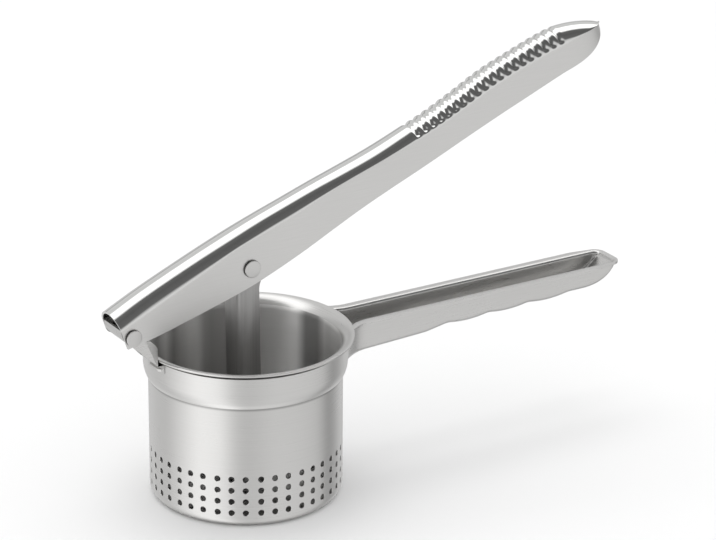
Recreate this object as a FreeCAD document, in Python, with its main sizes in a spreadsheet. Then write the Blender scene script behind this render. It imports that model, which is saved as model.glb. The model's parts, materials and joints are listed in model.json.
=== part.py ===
import FreeCAD, Part
import math
import os
import Sketcher

# Potato press of pressed stainless sheet, in millimetres and degrees.
# The origin is on the cup's axis in the face the cup stands on, +Z is up,
# +X runs along the handles to their tips, and both pins lie along Y.
driving = {
    # cup, with a lip that rolls outwards
    "cupRadius": 42.0,
    "cupSheet": 1.0,
    "cupHeight": 72.7,
    "cupFloorBend": 4.5,
    "lipRoll": 6.0,
    # perforations, punched through the wall in strikes of a few columns and through the floor in rings
    "holeSize": 2.6,
    "holeSides": 6,
    "holeRows": 4,
    "holeRowPitch": 5.2,
    "lowestHoleRow": 7.0,
    "strikeColumns": 3,
    "holeColumnPitch": 6.1,
    "strikes": 14,
    "bandMargin": 2.6,
    "floorRings": 3,
    "floorRingPitch": 10.4,
    # ring round the cup, whose top edge carries the rolled lip
    "collarGap": 1.3,
    "collarSheet": 0.8,
    "collarShoulderDrop": 11.4,
    "collarFootDrop": 18.4,
    "collarEdge": 0.55,
    "collarFit": 0.05,
    # lower handle, a trough with a flange round its mouth
    "troughDrop": 2.65,
    "troughSheet": 1.0,
    "troughHalfWidth": 8.0,
    "troughTipCorner": 4.5,
    "troughTipSweep": 16.0,
    "troughTipRun": 19.6,
    "troughTipFlat": 7.5,
    "troughRootDepth": 15.1,
    "troughNeckRun": 31.0,
    "troughNeckDepth": 13.2,
    "troughEdge": 2.6,
    "troughBrow": 1.5,
    "flareRun": 12.9,
    "flareHalfWidth": 13.0,
    "flangeWidth": 3.2,
    "flangeTipWidth": 1.1,
    "flangeFade": 27.6,
    "fingerStart": 12.0,
    "fingerPitch": 21.5,
    "fingerCount": 3,
    "fingerDepth": 1.1,
    "fingerCrestDepth": 11.1,
    "fingerRise": 0.4,
    "fingerBlend": 9.0,
    "weldGap": 0.05,
    # hinge, out from the lip's edge and up from the cup's top, and its bracket
    "hingeReach": 11.9,
    "hingeRise": 13.3,
    "bracketSheet": 1.2,
    "bracketWidth": 14.8,
    "bracketFoot": 4.0,
    "bracketFootProud": 0.9,
    "bracketBend": 3.0,
    "kneeOut": 5.2,
    "kneeRise": 6.4,
    "kneeDrop": 2.8,
    "heelReach": 3.7,
    "heelDrop": 1.2,
    "tongueReach": 5.1,
    "tongueFoot": 1.8,
    "tongueTop": 4.6,
    "earRadius": 5.5,
    "earBrowReach": 6.8,
    "earBrowDrop": 3.6,
    "earNeckDrop": 8.2,
    "earNeckRadius": 7.0,
    "earTuck": 0.25,
    "hingePinRadius": 2.0,
    "hingeHeadRadius": 3.6,
    # plunger and its pin, which stands a little nearer the hinge than the cup's axis
    "pinOffset": 1.2854,
    "restAngle": 18.46,
    "plungerPinRadius": 2.2,
    "plungerHeadRadius": 3.85,
    "headHeight": 1.2,
    "headGap": 0.15,
    "pinFit": 0.05,
    "plungerDrop": 79.0,
    "plungerTilt": 0.85,
    "stemSheet": 1.2,
    "stemWidth": 13.6,
    "stemWeb": 6.2,
    "stemFlange": 4.15,
    "stemBend": 2.6,
    "stemEarRadius": 9.5,
    "stemEarDrop": 3.0,
    "stemNeckDrop": 11.0,
    "stemNeckRadius": 9.0,
    "discGap": 2.2,
    "discShift": 1.0,
    "discSheet": 1.5,
    "discRim": 6.0,
    "discBend": 3.0,
    # lever: sections along the line through both pins, each a run on from the one before, with its lower
    # edge, its crease and the crown's rise over the crease measured up from that line
    "leverSheet": 1.0,
    "endRun": 3.9,
    "endLow": -3.6,
    "endCrease": 6.8,
    "endRise": 5.0,
    "endWidth": 17.6,
    "pinLow": -7.5,
    "pinCrease": 12.4,
    "pinRise": 3.9,
    "pinWidth": 16.2,
    "waistRun": 45.3,
    "waistLow": -4.0,
    "waistCrease": 13.6,
    "waistRise": 3.2,
    "gripRun": 39.0,
    "gripLow": -0.1,
    "gripCrease": 13.9,
    "gripRise": 3.2,
    "gripWidth": 14.6,
    "gripEndRun": 85.0,
    "gripEndLow": 6.2,
    "gripEndCrease": 20.0,
    "gripEndRise": 4.2,
    "tipRun": 28.2,
    "tipHeight": 14.0,
    "tipWidth": 4.0,
    # finger ribs pressed across the crown of the grip
    "ribCount": 20,
    "ribPitch": 4.2,
    "ribInset": 2.5,
    "ribDepth": 0.5,
}

doc = FreeCAD.newDocument("press")
sheet = doc.addObject("Spreadsheet::Sheet", "dim")
for row, (alias, number) in enumerate(driving.items(), 1):
    sheet.set("A%d" % row, alias)
    sheet.set("B%d" % row, str(number))
    sheet.setAlias("B%d" % row, alias)
doc.recompute()

# places that several pieces share
wallInside = "(dim.cupRadius - dim.cupSheet)"
rollOut = "(dim.lipRoll - dim.cupSheet)"
rollStart = "(dim.cupHeight - dim.lipRoll)"
lipRadius = "(dim.cupRadius + %s)" % rollOut
collarInside = "(dim.cupRadius + dim.collarGap)"
collarRadius = "(dim.cupRadius + dim.collarGap + dim.collarSheet)"
troughTop = "(dim.cupHeight - dim.troughDrop)"
flareX = "(%s + dim.flareRun)" % collarRadius
neckX = "(%s + dim.troughNeckRun)" % flareX
fingerX = "(%s + dim.fingerStart)" % neckX
tipStart = "(%s + dim.fingerCount * dim.fingerPitch + dim.troughTipFlat)" % fingerX
tipX = "(%s + dim.troughTipRun)" % tipStart
hingeX = "-(%s + dim.hingeReach)" % lipRadius
hingeZ = "(dim.cupHeight + dim.hingeRise)"
pinSpan = "((%s + dim.hingeReach - dim.pinOffset) / cos(dim.restAngle))" % lipRadius

# the ring's top edge touches the underside of the rolled lip, which is two straight cones
underCone = "dim.collarGap * (sqrt(2) + 1)"
overCone = "%s * sin(45) + (dim.collarGap - %s * (1 - cos(45))) * (sqrt(2) - 1)" % (rollOut, rollOut)
collarTop = "(%s + min(%s; %s) - dim.collarFit)" % (rollStart, underCone, overCone)

parts = []
allRound = 360.0
through = 400.0


def size(alias):
    return float(sheet.get(alias))


def value(formula):
    return float(sheet.evalExpression(formula))


def point(u, v):
    return FreeCAD.Vector(u, v, 0.0)


def newBody(label, kept=True):
    body = doc.addObject("PartDesign::Body", label)
    body.Label = label
    if kept:
        parts.append(body)
    return body


def originFeature(body, role):
    return [item for item in body.Origin.OriginFeatures if item.Role == role][0]


def newSketch(body, role, name, lift=None):
    # a sketch on one of the body's own origin planes, moved along that plane's normal by lift
    sketch = body.newObject("Sketcher::SketchObject", name)
    sketch.AttachmentSupport = [(originFeature(body, role), "")]
    sketch.MapMode = "FlatFace"
    if lift is not None:
        sketch.setExpression(".AttachmentOffset.Base.z", str(lift))
    doc.recompute()
    return sketch


def worth(sketch, entry):
    # a coordinate is a plain number or a formula in the sheet's names
    if isinstance(entry, str):
        return float(sketch.evalExpression(entry))
    return float(entry)


def constrain(sketch, entry, kind, *where):
    index = sketch.addConstraint(Sketcher.Constraint(kind, *where, worth(sketch, entry)))
    if isinstance(entry, str):
        sketch.setExpression("Constraints[%d]" % index, entry)


def arcBetween(start, end, radius, turn):
    # the shorter arc from start to end; turn is 1 where it bends to the left on the way and -1 to the right
    chord = end - start
    half = chord.Length / 2.0
    normal = point(-chord.y, chord.x)
    normal.normalize()
    reach = math.sqrt(max(radius * radius - half * half, 0.0))
    centre = (start + end) * 0.5 + normal * (turn * reach)
    first, last = (start, end) if turn > 0 else (end, start)
    startAngle = math.atan2(first.y - centre.y, first.x - centre.x)
    endAngle = math.atan2(last.y - centre.y, last.x - centre.x)
    if endAngle < startAngle:
        endAngle += 2.0 * math.pi
    circle = Part.Circle(centre, FreeCAD.Vector(0, 0, 1), radius)
    return Part.ArcOfCircle(circle, startAngle, endAngle)


def outline(sketch, corners, arcs=None):
    # a closed outline through corners; arcs maps the index of a side to its (radius, turn)
    arcs = arcs or {}
    base = sketch.GeometryCount
    count = len(corners)
    spots = [point(worth(sketch, u), worth(sketch, v)) for u, v in corners]
    ends = []
    for side in range(count):
        start, end = spots[side], spots[(side + 1) % count]
        if side in arcs:
            radius, turn = arcs[side]
            sketch.addGeometry(arcBetween(start, end, worth(sketch, radius), turn))
            ends.append((1, 2) if turn > 0 else (2, 1))
        else:
            sketch.addGeometry(Part.LineSegment(start, end))
            ends.append((1, 2))
    for side in range(count):
        following = (side + 1) % count
        joined = (base + side, ends[side][1], base + following, ends[following][0])
        sketch.addConstraint(Sketcher.Constraint("Coincident", *joined))
    for side, (u, v) in enumerate(corners):
        constrain(sketch, u, "DistanceX", -1, 1, base + side, ends[side][0])
        constrain(sketch, v, "DistanceY", -1, 1, base + side, ends[side][0])
    for side, (radius, turn) in arcs.items():
        constrain(sketch, radius, "Radius", base + side)
    doc.recompute()


def roundHole(sketch, u, v, radius):
    index = sketch.addGeometry(Part.Circle(point(worth(sketch, u), worth(sketch, v)),
                                           FreeCAD.Vector(0, 0, 1), worth(sketch, radius)))
    constrain(sketch, u, "DistanceX", -1, 1, index, 3)
    constrain(sketch, v, "DistanceY", -1, 1, index, 3)
    constrain(sketch, radius, "Radius", index)
    doc.recompute()


def revolve(body, sketch, name, axis="V_Axis"):
    feature = body.newObject("PartDesign::Revolution", name)
    feature.Profile = sketch
    feature.ReferenceAxis = (sketch, [axis])
    feature.Angle = allRound
    feature.Refine = False
    doc.recompute()
    return feature


def pad(body, sketch, name, length, both=False, down=False):
    feature = body.newObject("PartDesign::Pad", name)
    feature.Profile = sketch
    feature.setExpression("Length", str(length))
    feature.Midplane = both
    feature.Reversed = down
    doc.recompute()
    return feature


def pocket(body, sketch, name, length, both=False):
    before = body.Shape.Volume
    feature = body.newObject("PartDesign::Pocket", name)
    feature.Profile = sketch
    feature.setExpression("Length", str(length))
    feature.Midplane = both
    doc.recompute()
    if not body.Shape.Volume < before:
        raise ValueError("%s cuts nothing" % name)
    return feature


def fillet(body, name, edges, radius):
    base = body.Tip
    feature = body.newObject("PartDesign::Fillet", name)
    feature.Base = (base, edges)
    feature.setExpression("Radius", radius)
    doc.recompute()
    return feature


def chamfer(body, name, edges, width):
    base = body.Tip
    feature = body.newObject("PartDesign::Chamfer", name)
    feature.Base = (base, edges)
    feature.setExpression("Size", width)
    doc.recompute()
    return feature


def edgesWhere(body, test):
    return ["Edge%d" % (i + 1) for i, edge in enumerate(body.Shape.Edges) if test(edge)]


def middle(edge):
    return edge.valueAt((edge.FirstParameter + edge.LastParameter) / 2.0)


def acrossY(edge):
    box = edge.BoundBox
    return box.XLength < 1e-4 and box.ZLength < 1e-4


def offsetLine(spots, distance):
    # the open line through spots moved to its right by distance, with mitred corners
    moved = []
    for i, (x, z) in enumerate(spots):
        before = spots[max(i - 1, 0)]
        after = spots[min(i + 1, len(spots) - 1)]
        normals = []
        for start, end in ((before, (x, z)), ((x, z), after)):
            run = math.hypot(end[0] - start[0], end[1] - start[1])
            if run > 0.0:
                normals.append(((end[1] - start[1]) / run, (start[0] - end[0]) / run))
        nx = sum(n[0] for n in normals) / len(normals)
        nz = sum(n[1] for n in normals) / len(normals)
        scale = distance / (nx * nx + nz * nz)
        moved.append((x + nx * scale, z + nz * scale))
    return moved


def punch(name, reach, place):
    # one many-sided punch, holeSize across its flats, that starts at place and points along its Z
    prism = doc.addObject("Part::Prism", name)
    prism.Polygon = int(size("holeSides"))
    prism.setExpression("Circumradius", "dim.holeSize / 2 / cos(180 / %d)" % prism.Polygon)
    prism.setExpression("Height", reach)
    prism.Placement = place
    return prism


def wallPunches():
    # the punches of one strike are parallel, side by side across its middle column
    made = []
    outwards = FreeCAD.Rotation(FreeCAD.Vector(0, 1, 0), 90)
    columns = int(size("strikeColumns"))
    start = size("cupRadius") - 2.0 * size("cupFloorBend")
    for strike in range(int(size("strikes"))):
        turn = FreeCAD.Rotation(FreeCAD.Vector(0, 0, 1), allRound * strike / size("strikes"))
        for column in range(columns):
            across = (column - (columns - 1) / 2.0) * size("holeColumnPitch")
            for row in range(int(size("holeRows"))):
                height = size("lowestHoleRow") + row * size("holeRowPitch")
                spot = turn.multVec(FreeCAD.Vector(start, across, height))
                place = FreeCAD.Placement(spot, turn * outwards)
                made.append(punch("wallPunch", "dim.cupFloorBend * 2 + dim.cupSheet", place))
    return made


def floorPunches():
    # six more holes in each ring than in the last, round the hole in the middle
    made = []
    upright = FreeCAD.Rotation()
    for ring in range(int(size("floorRings")) + 1):
        count = max(6 * ring, 1)
        for step in range(count):
            angle = 2.0 * math.pi * step / count
            reach = ring * size("floorRingPitch")
            spot = FreeCAD.Vector(reach * math.cos(angle), reach * math.sin(angle), -size("cupSheet"))
            made.append(punch("floorPunch", "dim.cupSheet * 3", FreeCAD.Placement(spot, upright)))
    return made


# Cup: one drawn sheet whose lip rolls outwards. The punched band is made of narrow flats, one to each
# column of holes, which lie within an eighth of a millimetre of the round wall.
def makeBasket():
    blank = newBody("cup_blank", kept=False)
    bandLow = "dim.cupFloorBend"
    bandHigh = "dim.lowestHoleRow + (dim.holeRows - 1) * dim.holeRowPitch + dim.bandMargin"
    lower = newSketch(blank, "XZ_Plane", "floorProfile")
    outline(lower, [
        ("0", "0"),
        ("dim.cupRadius - dim.cupFloorBend", "0"),
        ("dim.cupRadius - dim.cupFloorBend * (1 - cos(45))", "dim.cupFloorBend * (1 - sin(45))"),
        ("dim.cupRadius", bandLow),
        (wallInside, bandLow),
        ("dim.cupRadius - dim.cupFloorBend", "dim.cupSheet"),
        ("0", "dim.cupSheet"),
    ])
    revolve(blank, lower, "floor")
    band = newSketch(blank, "XY_Plane", "bandPlan", bandLow)
    sides = int(size("strikes") * size("strikeColumns"))
    for radius in ("dim.cupRadius", wallInside):
        flats = []
        for corner in range(sides):
            angle = (corner + 0.5) * allRound / sides
            flats.append(("%s * cos(%.6f)" % (radius, angle), "%s * sin(%.6f)" % (radius, angle)))
        outline(band, flats)
    pad(blank, band, "band", "%s - %s" % (bandHigh, bandLow))
    upper = newSketch(blank, "XZ_Plane", "wallProfile")
    outline(upper, [
        ("dim.cupRadius", bandHigh),
        ("dim.cupRadius", rollStart),
        ("dim.cupRadius + %s * (1 - cos(45))" % rollOut, "%s + %s * sin(45)" % (rollStart, rollOut)),
        (lipRadius, "dim.cupHeight - dim.cupSheet"),
        (lipRadius, "dim.cupHeight"),
        (wallInside + " + dim.lipRoll * (1 - cos(45))", rollStart + " + dim.lipRoll * sin(45)"),
        (wallInside, rollStart),
        (wallInside, bandHigh),
    ])
    revolve(blank, upper, "wall")
    punches = doc.addObject("Part::Compound", "punches")
    punches.Links = wallPunches() + floorPunches()
    basket = doc.addObject("Part::Cut", "basket")
    basket.Label = "basket"
    basket.Base = blank
    basket.Tool = punches
    doc.recompute()
    parts.append(basket)


# Collar: a pressed ring that carries the lip on its top edge and draws in to the cup at its foot.
def makeCollar():
    body = newBody("collar_ring")
    profile = newSketch(body, "XZ_Plane", "ringProfile")
    snug = "dim.cupRadius + dim.collarFit"
    foot = "dim.cupHeight - dim.collarFootDrop"
    shoulder = "dim.cupHeight - dim.collarShoulderDrop"
    outline(profile, [
        (snug, foot),
        (snug + " + dim.collarEdge", foot),
        (collarRadius, shoulder),
        (collarRadius, collarTop),
        (collarInside, collarTop),
        (collarInside, shoulder),
    ])
    revolve(body, profile, "ring")


def handlePlan(sketch, widen, tipWiden, fade=None):
    # plan of the trough or of its flange, with the flare that meets the ring; fade is where the flange
    # starts to narrow towards the tip, whose sides and end stand out by tipWiden
    half = "(dim.troughHalfWidth + %s)" % widen
    flareHalf = "(dim.flareHalfWidth + %s)" % widen
    tipHalf = "(dim.troughHalfWidth + %s)" % tipWiden
    tip = "(%s + %s)" % (tipX, tipWiden)
    corner = "(dim.troughTipCorner + %s)" % tipWiden
    swell = "(dim.flareHalfWidth - dim.troughHalfWidth)"
    flare = "(dim.flareRun^2 + %s^2) / 2 / %s" % (swell, swell)
    right = [
        (wallInside, "-" + flareHalf),
        (collarRadius, "-" + flareHalf),
        (flareX, "-" + half),
    ]
    arcs = {1: (flare, -1)}
    if fade:
        right.append((fade, "-" + half))
    right.append(("%s - %s" % (tip, corner), "-" + tipHalf))
    arcs[len(right) - 1] = (corner, 1)
    right.append((tip, "%s - %s" % (corner, tipHalf)))
    left = [(x, "-(%s)" % y) for x, y in reversed(right)]
    total = len(right) + len(left)
    arcs[len(right)] = (corner, 1)
    arcs[total - 3] = (flare, -1)
    outline(sketch, right + left, arcs)


def troughForm(body, wall, lift):
    # the trough's outside, or the hollow inside it where wall is the sheet's thickness
    plan = newSketch(body, "XY_Plane", "troughPlan", "%s + %s" % (troughTop, lift))
    handlePlan(plan, "(-%s)" % wall, "(-%s)" % wall)
    pad(body, plan, "trough", "dim.troughRootDepth + " + lift, down=True)
    side = newSketch(body, "XZ_Plane", "undersideCut")
    crest = "%s - dim.fingerCrestDepth + %s" % (troughTop, wall)
    corners = [
        (wallInside, "%s - dim.troughRootDepth + %s" % (troughTop, wall)),
        (neckX, "%s - dim.troughNeckDepth + %s" % (troughTop, wall)),
    ]
    arcs = {}
    lobe = "((dim.fingerPitch / 2)^2 + dim.fingerDepth^2) / 2 / dim.fingerDepth"
    for finger in range(int(size("fingerCount")) + 1):
        along = "%s + %d * dim.fingerPitch" % (fingerX, finger)
        corners.append((along, "%s + %d * dim.fingerRise" % (crest, finger)))
        if finger < size("fingerCount"):
            arcs[len(corners) - 1] = (lobe, 1)
    corners.append((tipStart, "%s + dim.fingerCount * dim.fingerRise" % crest))
    arcs[len(corners) - 1] = ("dim.troughTipSweep - " + wall, 1)
    brow = "%s - dim.troughBrow" % troughTop
    below = "%s - dim.troughRootDepth - dim.troughTipCorner" % troughTop
    end = "%s + dim.troughTipCorner" % tipX
    corners += [("%s - %s" % (tipX, wall), brow), (end, brow), (end, below), (wallInside, below)]
    outline(side, corners, arcs)
    pocket(body, side, "underside", str(through), both=True)
    slack = size("troughSheet")
    firstX, lastX = value(neckX) - slack, value(tipStart) - slack
    lowZ = value(troughTop) - size("fingerCrestDepth") / 2.0
    crests = edgesWhere(body, lambda e: acrossY(e) and firstX < middle(e).x < lastX and middle(e).z < lowZ)
    fillet(body, "fingerBlends", crests, "dim.fingerBlend")
    lowEdges = edgesWhere(body, lambda e: not acrossY(e) and e.BoundBox.ZMax < lowZ
                          and abs(middle(e).y) > slack and middle(e).x < lastX + slack)
    chamfer(body, "bottomBends", lowEdges, "dim.troughEdge - %s * (2 - sqrt(2))" % wall)


# Lower handle: a trough drawn from one sheet, open on top, with finger waves along its underside.
def makeHandle():
    body = newBody("lower_handle")
    troughForm(body, "0", "0")
    rim = newSketch(body, "XY_Plane", "flangePlan", troughTop)
    handlePlan(rim, "dim.flangeWidth", "dim.flangeTipWidth", "%s - dim.flangeFade" % tipX)
    pad(body, rim, "flange", "dim.troughSheet", down=True)
    # the hollow opens the trough and the flange's mouth in one
    hollow = newBody("trough_hollow", kept=False)
    troughForm(hollow, "dim.troughSheet", "dim.troughSheet")
    opened = body.newObject("PartDesign::Boolean", "troughOpen")
    opened.Type = "Cut"
    opened.addObjects([hollow])
    doc.recompute()
    seat = newSketch(body, "XY_Plane", "ringSeat")
    roundHole(seat, "0", "0", collarRadius + " + dim.weldGap")
    pocket(body, seat, "ringSeatCut", str(through), both=True)


# Hinge bracket: a U-section strap welded to the ring below the lip. Its web goes out round the lip and up
# to a tongue behind the pin, and its ears stand between the lever's side walls.
def makeBracket():
    body = newBody("hinge_bracket")
    footX = "(-%s - dim.bracketFootProud)" % collarRadius
    footZ = "(%s - dim.bracketFoot)" % collarTop
    kneeZ = "(%s - dim.kneeDrop)" % collarTop
    tongueX = "(%s - dim.tongueReach)" % hingeX
    insideX = "-dim.cupRadius"
    web = [
        (footX, footZ),
        (footX, kneeZ),
        (footX + " - dim.kneeOut", kneeZ + " + dim.kneeRise"),
        (hingeX + " - dim.heelReach", hingeZ + " - dim.heelDrop"),
        (tongueX, hingeZ + " + dim.tongueFoot"),
        (tongueX, hingeZ + " + dim.tongueTop"),
    ]
    earEdge = "(dim.earTuck - %s)" % lipRadius
    side = newSketch(body, "XZ_Plane", "strapSide")
    outline(side, web + [
        ("%s - sqrt(dim.earRadius^2 - dim.tongueTop^2)" % hingeX, hingeZ + " + dim.tongueTop"),
        (hingeX + " + dim.earRadius", hingeZ),
        (hingeX + " + dim.earBrowReach", hingeZ + " - dim.earBrowDrop"),
        (earEdge, hingeZ + " - dim.earNeckDrop"),
        (earEdge, collarTop),
        (insideX, collarTop),
        (insideX, footZ),
    ], {6: ("dim.earRadius", -1), 8: ("dim.earNeckRadius", -1)})
    pad(body, side, "strap", "dim.bracketWidth", both=True)
    hollow = newSketch(body, "XZ_Plane", "strapHollow")
    inner = offsetLine([(value(x), value(z)) for x, z in web], size("bracketSheet"))
    openX, openZ = value(insideX), inner[5][1] + size("bracketSheet")
    outline(hollow, [inner[1]] + inner[2:5] + [(inner[5][0], openZ), (openX, openZ), (openX, inner[1][1])])
    pocket(body, hollow, "betweenEars", "dim.bracketWidth - 2 * dim.bracketSheet", both=True)
    bentAt = [(value(x), value(z)) for x, z in web[1:4]]
    bends = edgesWhere(body, lambda e: acrossY(e) and e.Length > size("bracketWidth") - 0.1
                       and any(math.hypot(middle(e).x - x, middle(e).z - z) < 0.01 for x, z in bentAt))
    fillet(body, "strapBends", bends, "dim.bracketBend")
    seat = newSketch(body, "XY_Plane", "ringSeat")
    roundHole(seat, "0", "0", collarRadius + " + dim.weldGap")
    pocket(body, seat, "ringSeatCut", str(through), both=True)
    foot = newSketch(body, "XY_Plane", "footCurve", kneeZ + " - dim.weldGap")
    roundHole(foot, "0", "0", collarRadius + " + dim.bracketFootProud")
    roundHole(foot, "0", "0", "%s + dim.bracketFootProud + dim.bracketWidth" % collarRadius)
    pocket(body, foot, "footCurveCut", "dim.bracketFoot")
    eye = newSketch(body, "XZ_Plane", "pinEye")
    roundHole(eye, hingeX, hingeZ, "dim.hingePinRadius + dim.pinFit")
    pocket(body, eye, "pinEyes", str(through), both=True)


def makePin(label, shank, head, halfGrip):
    # a rivet along Y with a flat head at each end
    body = newBody(label)
    profile = newSketch(body, "XY_Plane", "pinProfile")
    inner = halfGrip + " + dim.headGap"
    outer = inner + " + dim.headHeight"
    half = [
        (shank, inner),
        (head, inner),
        (head, outer),
        ("0", outer),
    ]
    mirrored = [(x, "-(%s)" % y) for x, y in reversed(half)]
    outline(profile, half + mirrored)
    revolve(body, profile, "pin")
    return body


def leverStations():
    # position, lower edge, crease, crown and width of each section
    stations = []
    x = 0.0
    named = (
        ("end", "endWidth", -size("endRun")),
        ("pin", "pinWidth", size("endRun") + value(pinSpan)),
        ("waist", "gripWidth", size("waistRun")),
        ("grip", "gripWidth", size("gripRun")),
        ("gripEnd", "gripWidth", size("gripEndRun")),
    )
    for name, width, run in named:
        x += run
        crease = size(name + "Crease")
        stations.append((x, size(name + "Low"), crease, crease + size(name + "Rise"), size(width)))
    # the nose closes on a quarter of an ellipse, in shorter steps towards its end
    x0, low0, crease0, crown0, width0 = stations[-1]
    height = size("tipHeight")
    narrow = size("tipWidth") / width0
    noseSteps = (0.55, 0.87, 1.0)
    for share in noseSteps:
        shrink = math.sqrt(1.0 - share ** 2 * (1.0 - narrow ** 2))
        low = height - (height - low0) * shrink
        crease = height + (crease0 - height) * shrink
        crown = height + (crown0 - height) * shrink
        stations.append((x0 + size("tipRun") * share, low, crease, crown, width0 * shrink))
    return stations


def section(body, name, station, inset):
    # a flat-sided section under an arched crown; the inset one is open at its foot
    x, low, crease, crown, width = station
    half = width / 2.0
    rise = crown - crease
    arch = (half * half + rise * rise) / 2.0 / rise
    if inset > 0.0:
        centre = crown - arch
        arch -= inset
        half -= inset
        crease = centre + math.sqrt(arch * arch - half * half)
        low -= inset + size("leverSheet")
    sketch = newSketch(body, "YZ_Plane", name, x)
    outline(sketch, [(-half, low), (half, low), (half, crease), (-half, crease)], {2: (arch, 1)})
    return sketch


def loft(body, kind, name, sketches):
    feature = body.newObject("PartDesign::" + kind, name)
    feature.Profile = sketches[0]
    feature.Sections = sketches[1:]
    feature.Ruled = True
    doc.recompute()
    return feature


def pressRibs(body, gripStart, gripEnd):
    # V-shaped valleys round the crown's own curve, in a row along the grip
    ribs = newSketch(body, "XZ_Plane", "ribSection")
    slope = (gripEnd[3] - gripStart[3]) / (gripEnd[0] - gripStart[0])
    rise = (size("gripRise") + size("gripEndRise")) / 2.0
    arch = (size("gripWidth") ** 2 / 4.0 + rise ** 2) / 2.0 / rise
    first = gripStart[0] + size("ribInset")
    firstZ = gripStart[3] + slope * size("ribInset")
    run = size("ribPitch") * size("ribCount")
    start = point(first, firstZ - arch)
    end = point(first + run, firstZ - arch + slope * run)
    axis = ribs.addGeometry(Part.LineSegment(start, end), True)
    constrain(ribs, start.x, "DistanceX", -1, 1, axis, 1)
    constrain(ribs, start.y, "DistanceY", -1, 1, axis, 1)
    constrain(ribs, end.x, "DistanceX", -1, 1, axis, 2)
    constrain(ribs, end.y, "DistanceY", -1, 1, axis, 2)
    outline(ribs, [
        (first, firstZ - size("ribDepth")),
        ("%.6f + dim.ribPitch / 2" % first, firstZ + size("ribDepth")),
        ("%.6f - dim.ribPitch / 2" % first, firstZ + size("ribDepth")),
    ])
    groove = body.newObject("PartDesign::Groove", "rib")
    groove.Profile = ribs
    groove.ReferenceAxis = (ribs, ["Axis0"])
    groove.Angle = 2.0 * math.degrees(math.asin(size("gripWidth") / 2.0 / arch) + size("ribDepth") / arch)
    groove.Midplane = True
    doc.recompute()
    row = body.newObject("PartDesign::LinearPattern", "ribRow")
    row.Originals = [groove]
    row.Direction = (ribs, ["Axis0"])
    row.setExpression("Length", "dim.ribPitch * (dim.ribCount - 1)")
    row.Occurrences = int(size("ribCount"))
    body.Tip = row
    doc.recompute()


# Lever: a channel pressed from one sheet, open below and at the hinge, with a ribbed crown over the grip.
def makeLever():
    body = newBody("lever")
    stations = leverStations()
    outer = [section(body, "outer%d" % i, station, 0.0) for i, station in enumerate(stations)]
    loft(body, "AdditiveLoft", "pressing", outer)
    pressRibs(body, stations[3], stations[4])
    behind = (stations[0][0] - size("endRun"),) + stations[0][1:]
    hollow = [behind] + stations[:-1]
    inner = [section(body, "inner%d" % i, station, size("leverSheet")) for i, station in enumerate(hollow)]
    loft(body, "SubtractiveLoft", "channel", inner)
    eyes = newSketch(body, "XZ_Plane", "pinEyes")
    roundHole(eyes, "0", "0", "dim.hingePinRadius + dim.pinFit")
    roundHole(eyes, pinSpan, "0", "dim.plungerPinRadius + dim.pinFit")
    pocket(body, eyes, "pinEyeCut", str(through), both=True)
    return body


# Plunger stem: a U-channel whose ears hang on the plunger pin; its web faces the hinge.
def makeStem():
    body = newBody("plunger_stem")
    side = newSketch(body, "XZ_Plane", "stemSide")
    foot = "dim.discSheet - dim.plungerDrop"
    outline(side, [
        ("-dim.stemWeb", foot),
        ("dim.stemFlange", foot),
        ("dim.stemFlange", "-dim.stemNeckDrop"),
        ("sqrt(dim.stemEarRadius^2 - dim.stemEarDrop^2)", "-dim.stemEarDrop"),
        ("-dim.stemWeb", "sqrt(dim.stemEarRadius^2 - dim.stemWeb^2)"),
    ], {2: ("dim.stemNeckRadius", -1), 3: ("dim.stemEarRadius", 1)})
    pad(body, side, "stem", "dim.stemWidth", both=True)
    corners = edgesWhere(body, lambda e: e.BoundBox.ZLength > size("plungerDrop") / 2.0
                         and middle(e).x < 0.0 and abs(middle(e).y) > 1.0)
    fillet(body, "stemBends", corners, "dim.stemBend")
    hollow = newSketch(body, "XY_Plane", "stemHollow")
    inside = "dim.stemWidth / 2 - dim.stemSheet"
    bend = "dim.stemBend - dim.stemSheet"
    web = "dim.stemSheet - dim.stemWeb"
    outline(hollow, [
        (web, "dim.stemWidth / 2 - dim.stemBend"),
        (web, "dim.stemBend - dim.stemWidth / 2"),
        ("dim.stemBend - dim.stemWeb", "-(%s)" % inside),
        ("dim.stemEarRadius + dim.stemSheet", "-(%s)" % inside),
        ("dim.stemEarRadius + dim.stemSheet", inside),
        ("dim.stemBend - dim.stemWeb", inside),
    ], {1: (bend, 1), 5: (bend, 1)})
    pocket(body, hollow, "stemChannel", str(through), both=True)
    eye = newSketch(body, "XZ_Plane", "pinEye")
    roundHole(eye, "0", "0", "dim.plungerPinRadius + dim.pinFit")
    pocket(body, eye, "pinEyes", str(through), both=True)
    return body


# Plunger disc: a shallow pressed plate with its rim turned up.
def makeDisc():
    body = newBody("plunger_disc")
    profile = newSketch(body, "XZ_Plane", "discProfile")
    outside = "(%s - dim.discGap)" % wallInside
    outline(profile, [
        ("0", "0"),
        (outside + " - dim.discBend", "0"),
        (outside, "dim.discBend"),
        (outside, "dim.discRim"),
        (outside + " - dim.discSheet", "dim.discRim"),
        (outside + " - dim.discSheet", "dim.discBend"),
        (outside + " - dim.discBend", "dim.discSheet"),
        ("0", "dim.discSheet"),
    ])
    revolve(body, profile, "disc")
    return body


def turned(x, z, degrees):
    # a place in the XZ plane, turned so that +X rises by degrees
    spin = FreeCAD.Rotation(FreeCAD.Vector(0, 1, 0), -degrees)
    return FreeCAD.Placement(FreeCAD.Vector(x, 0, z), spin)


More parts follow.
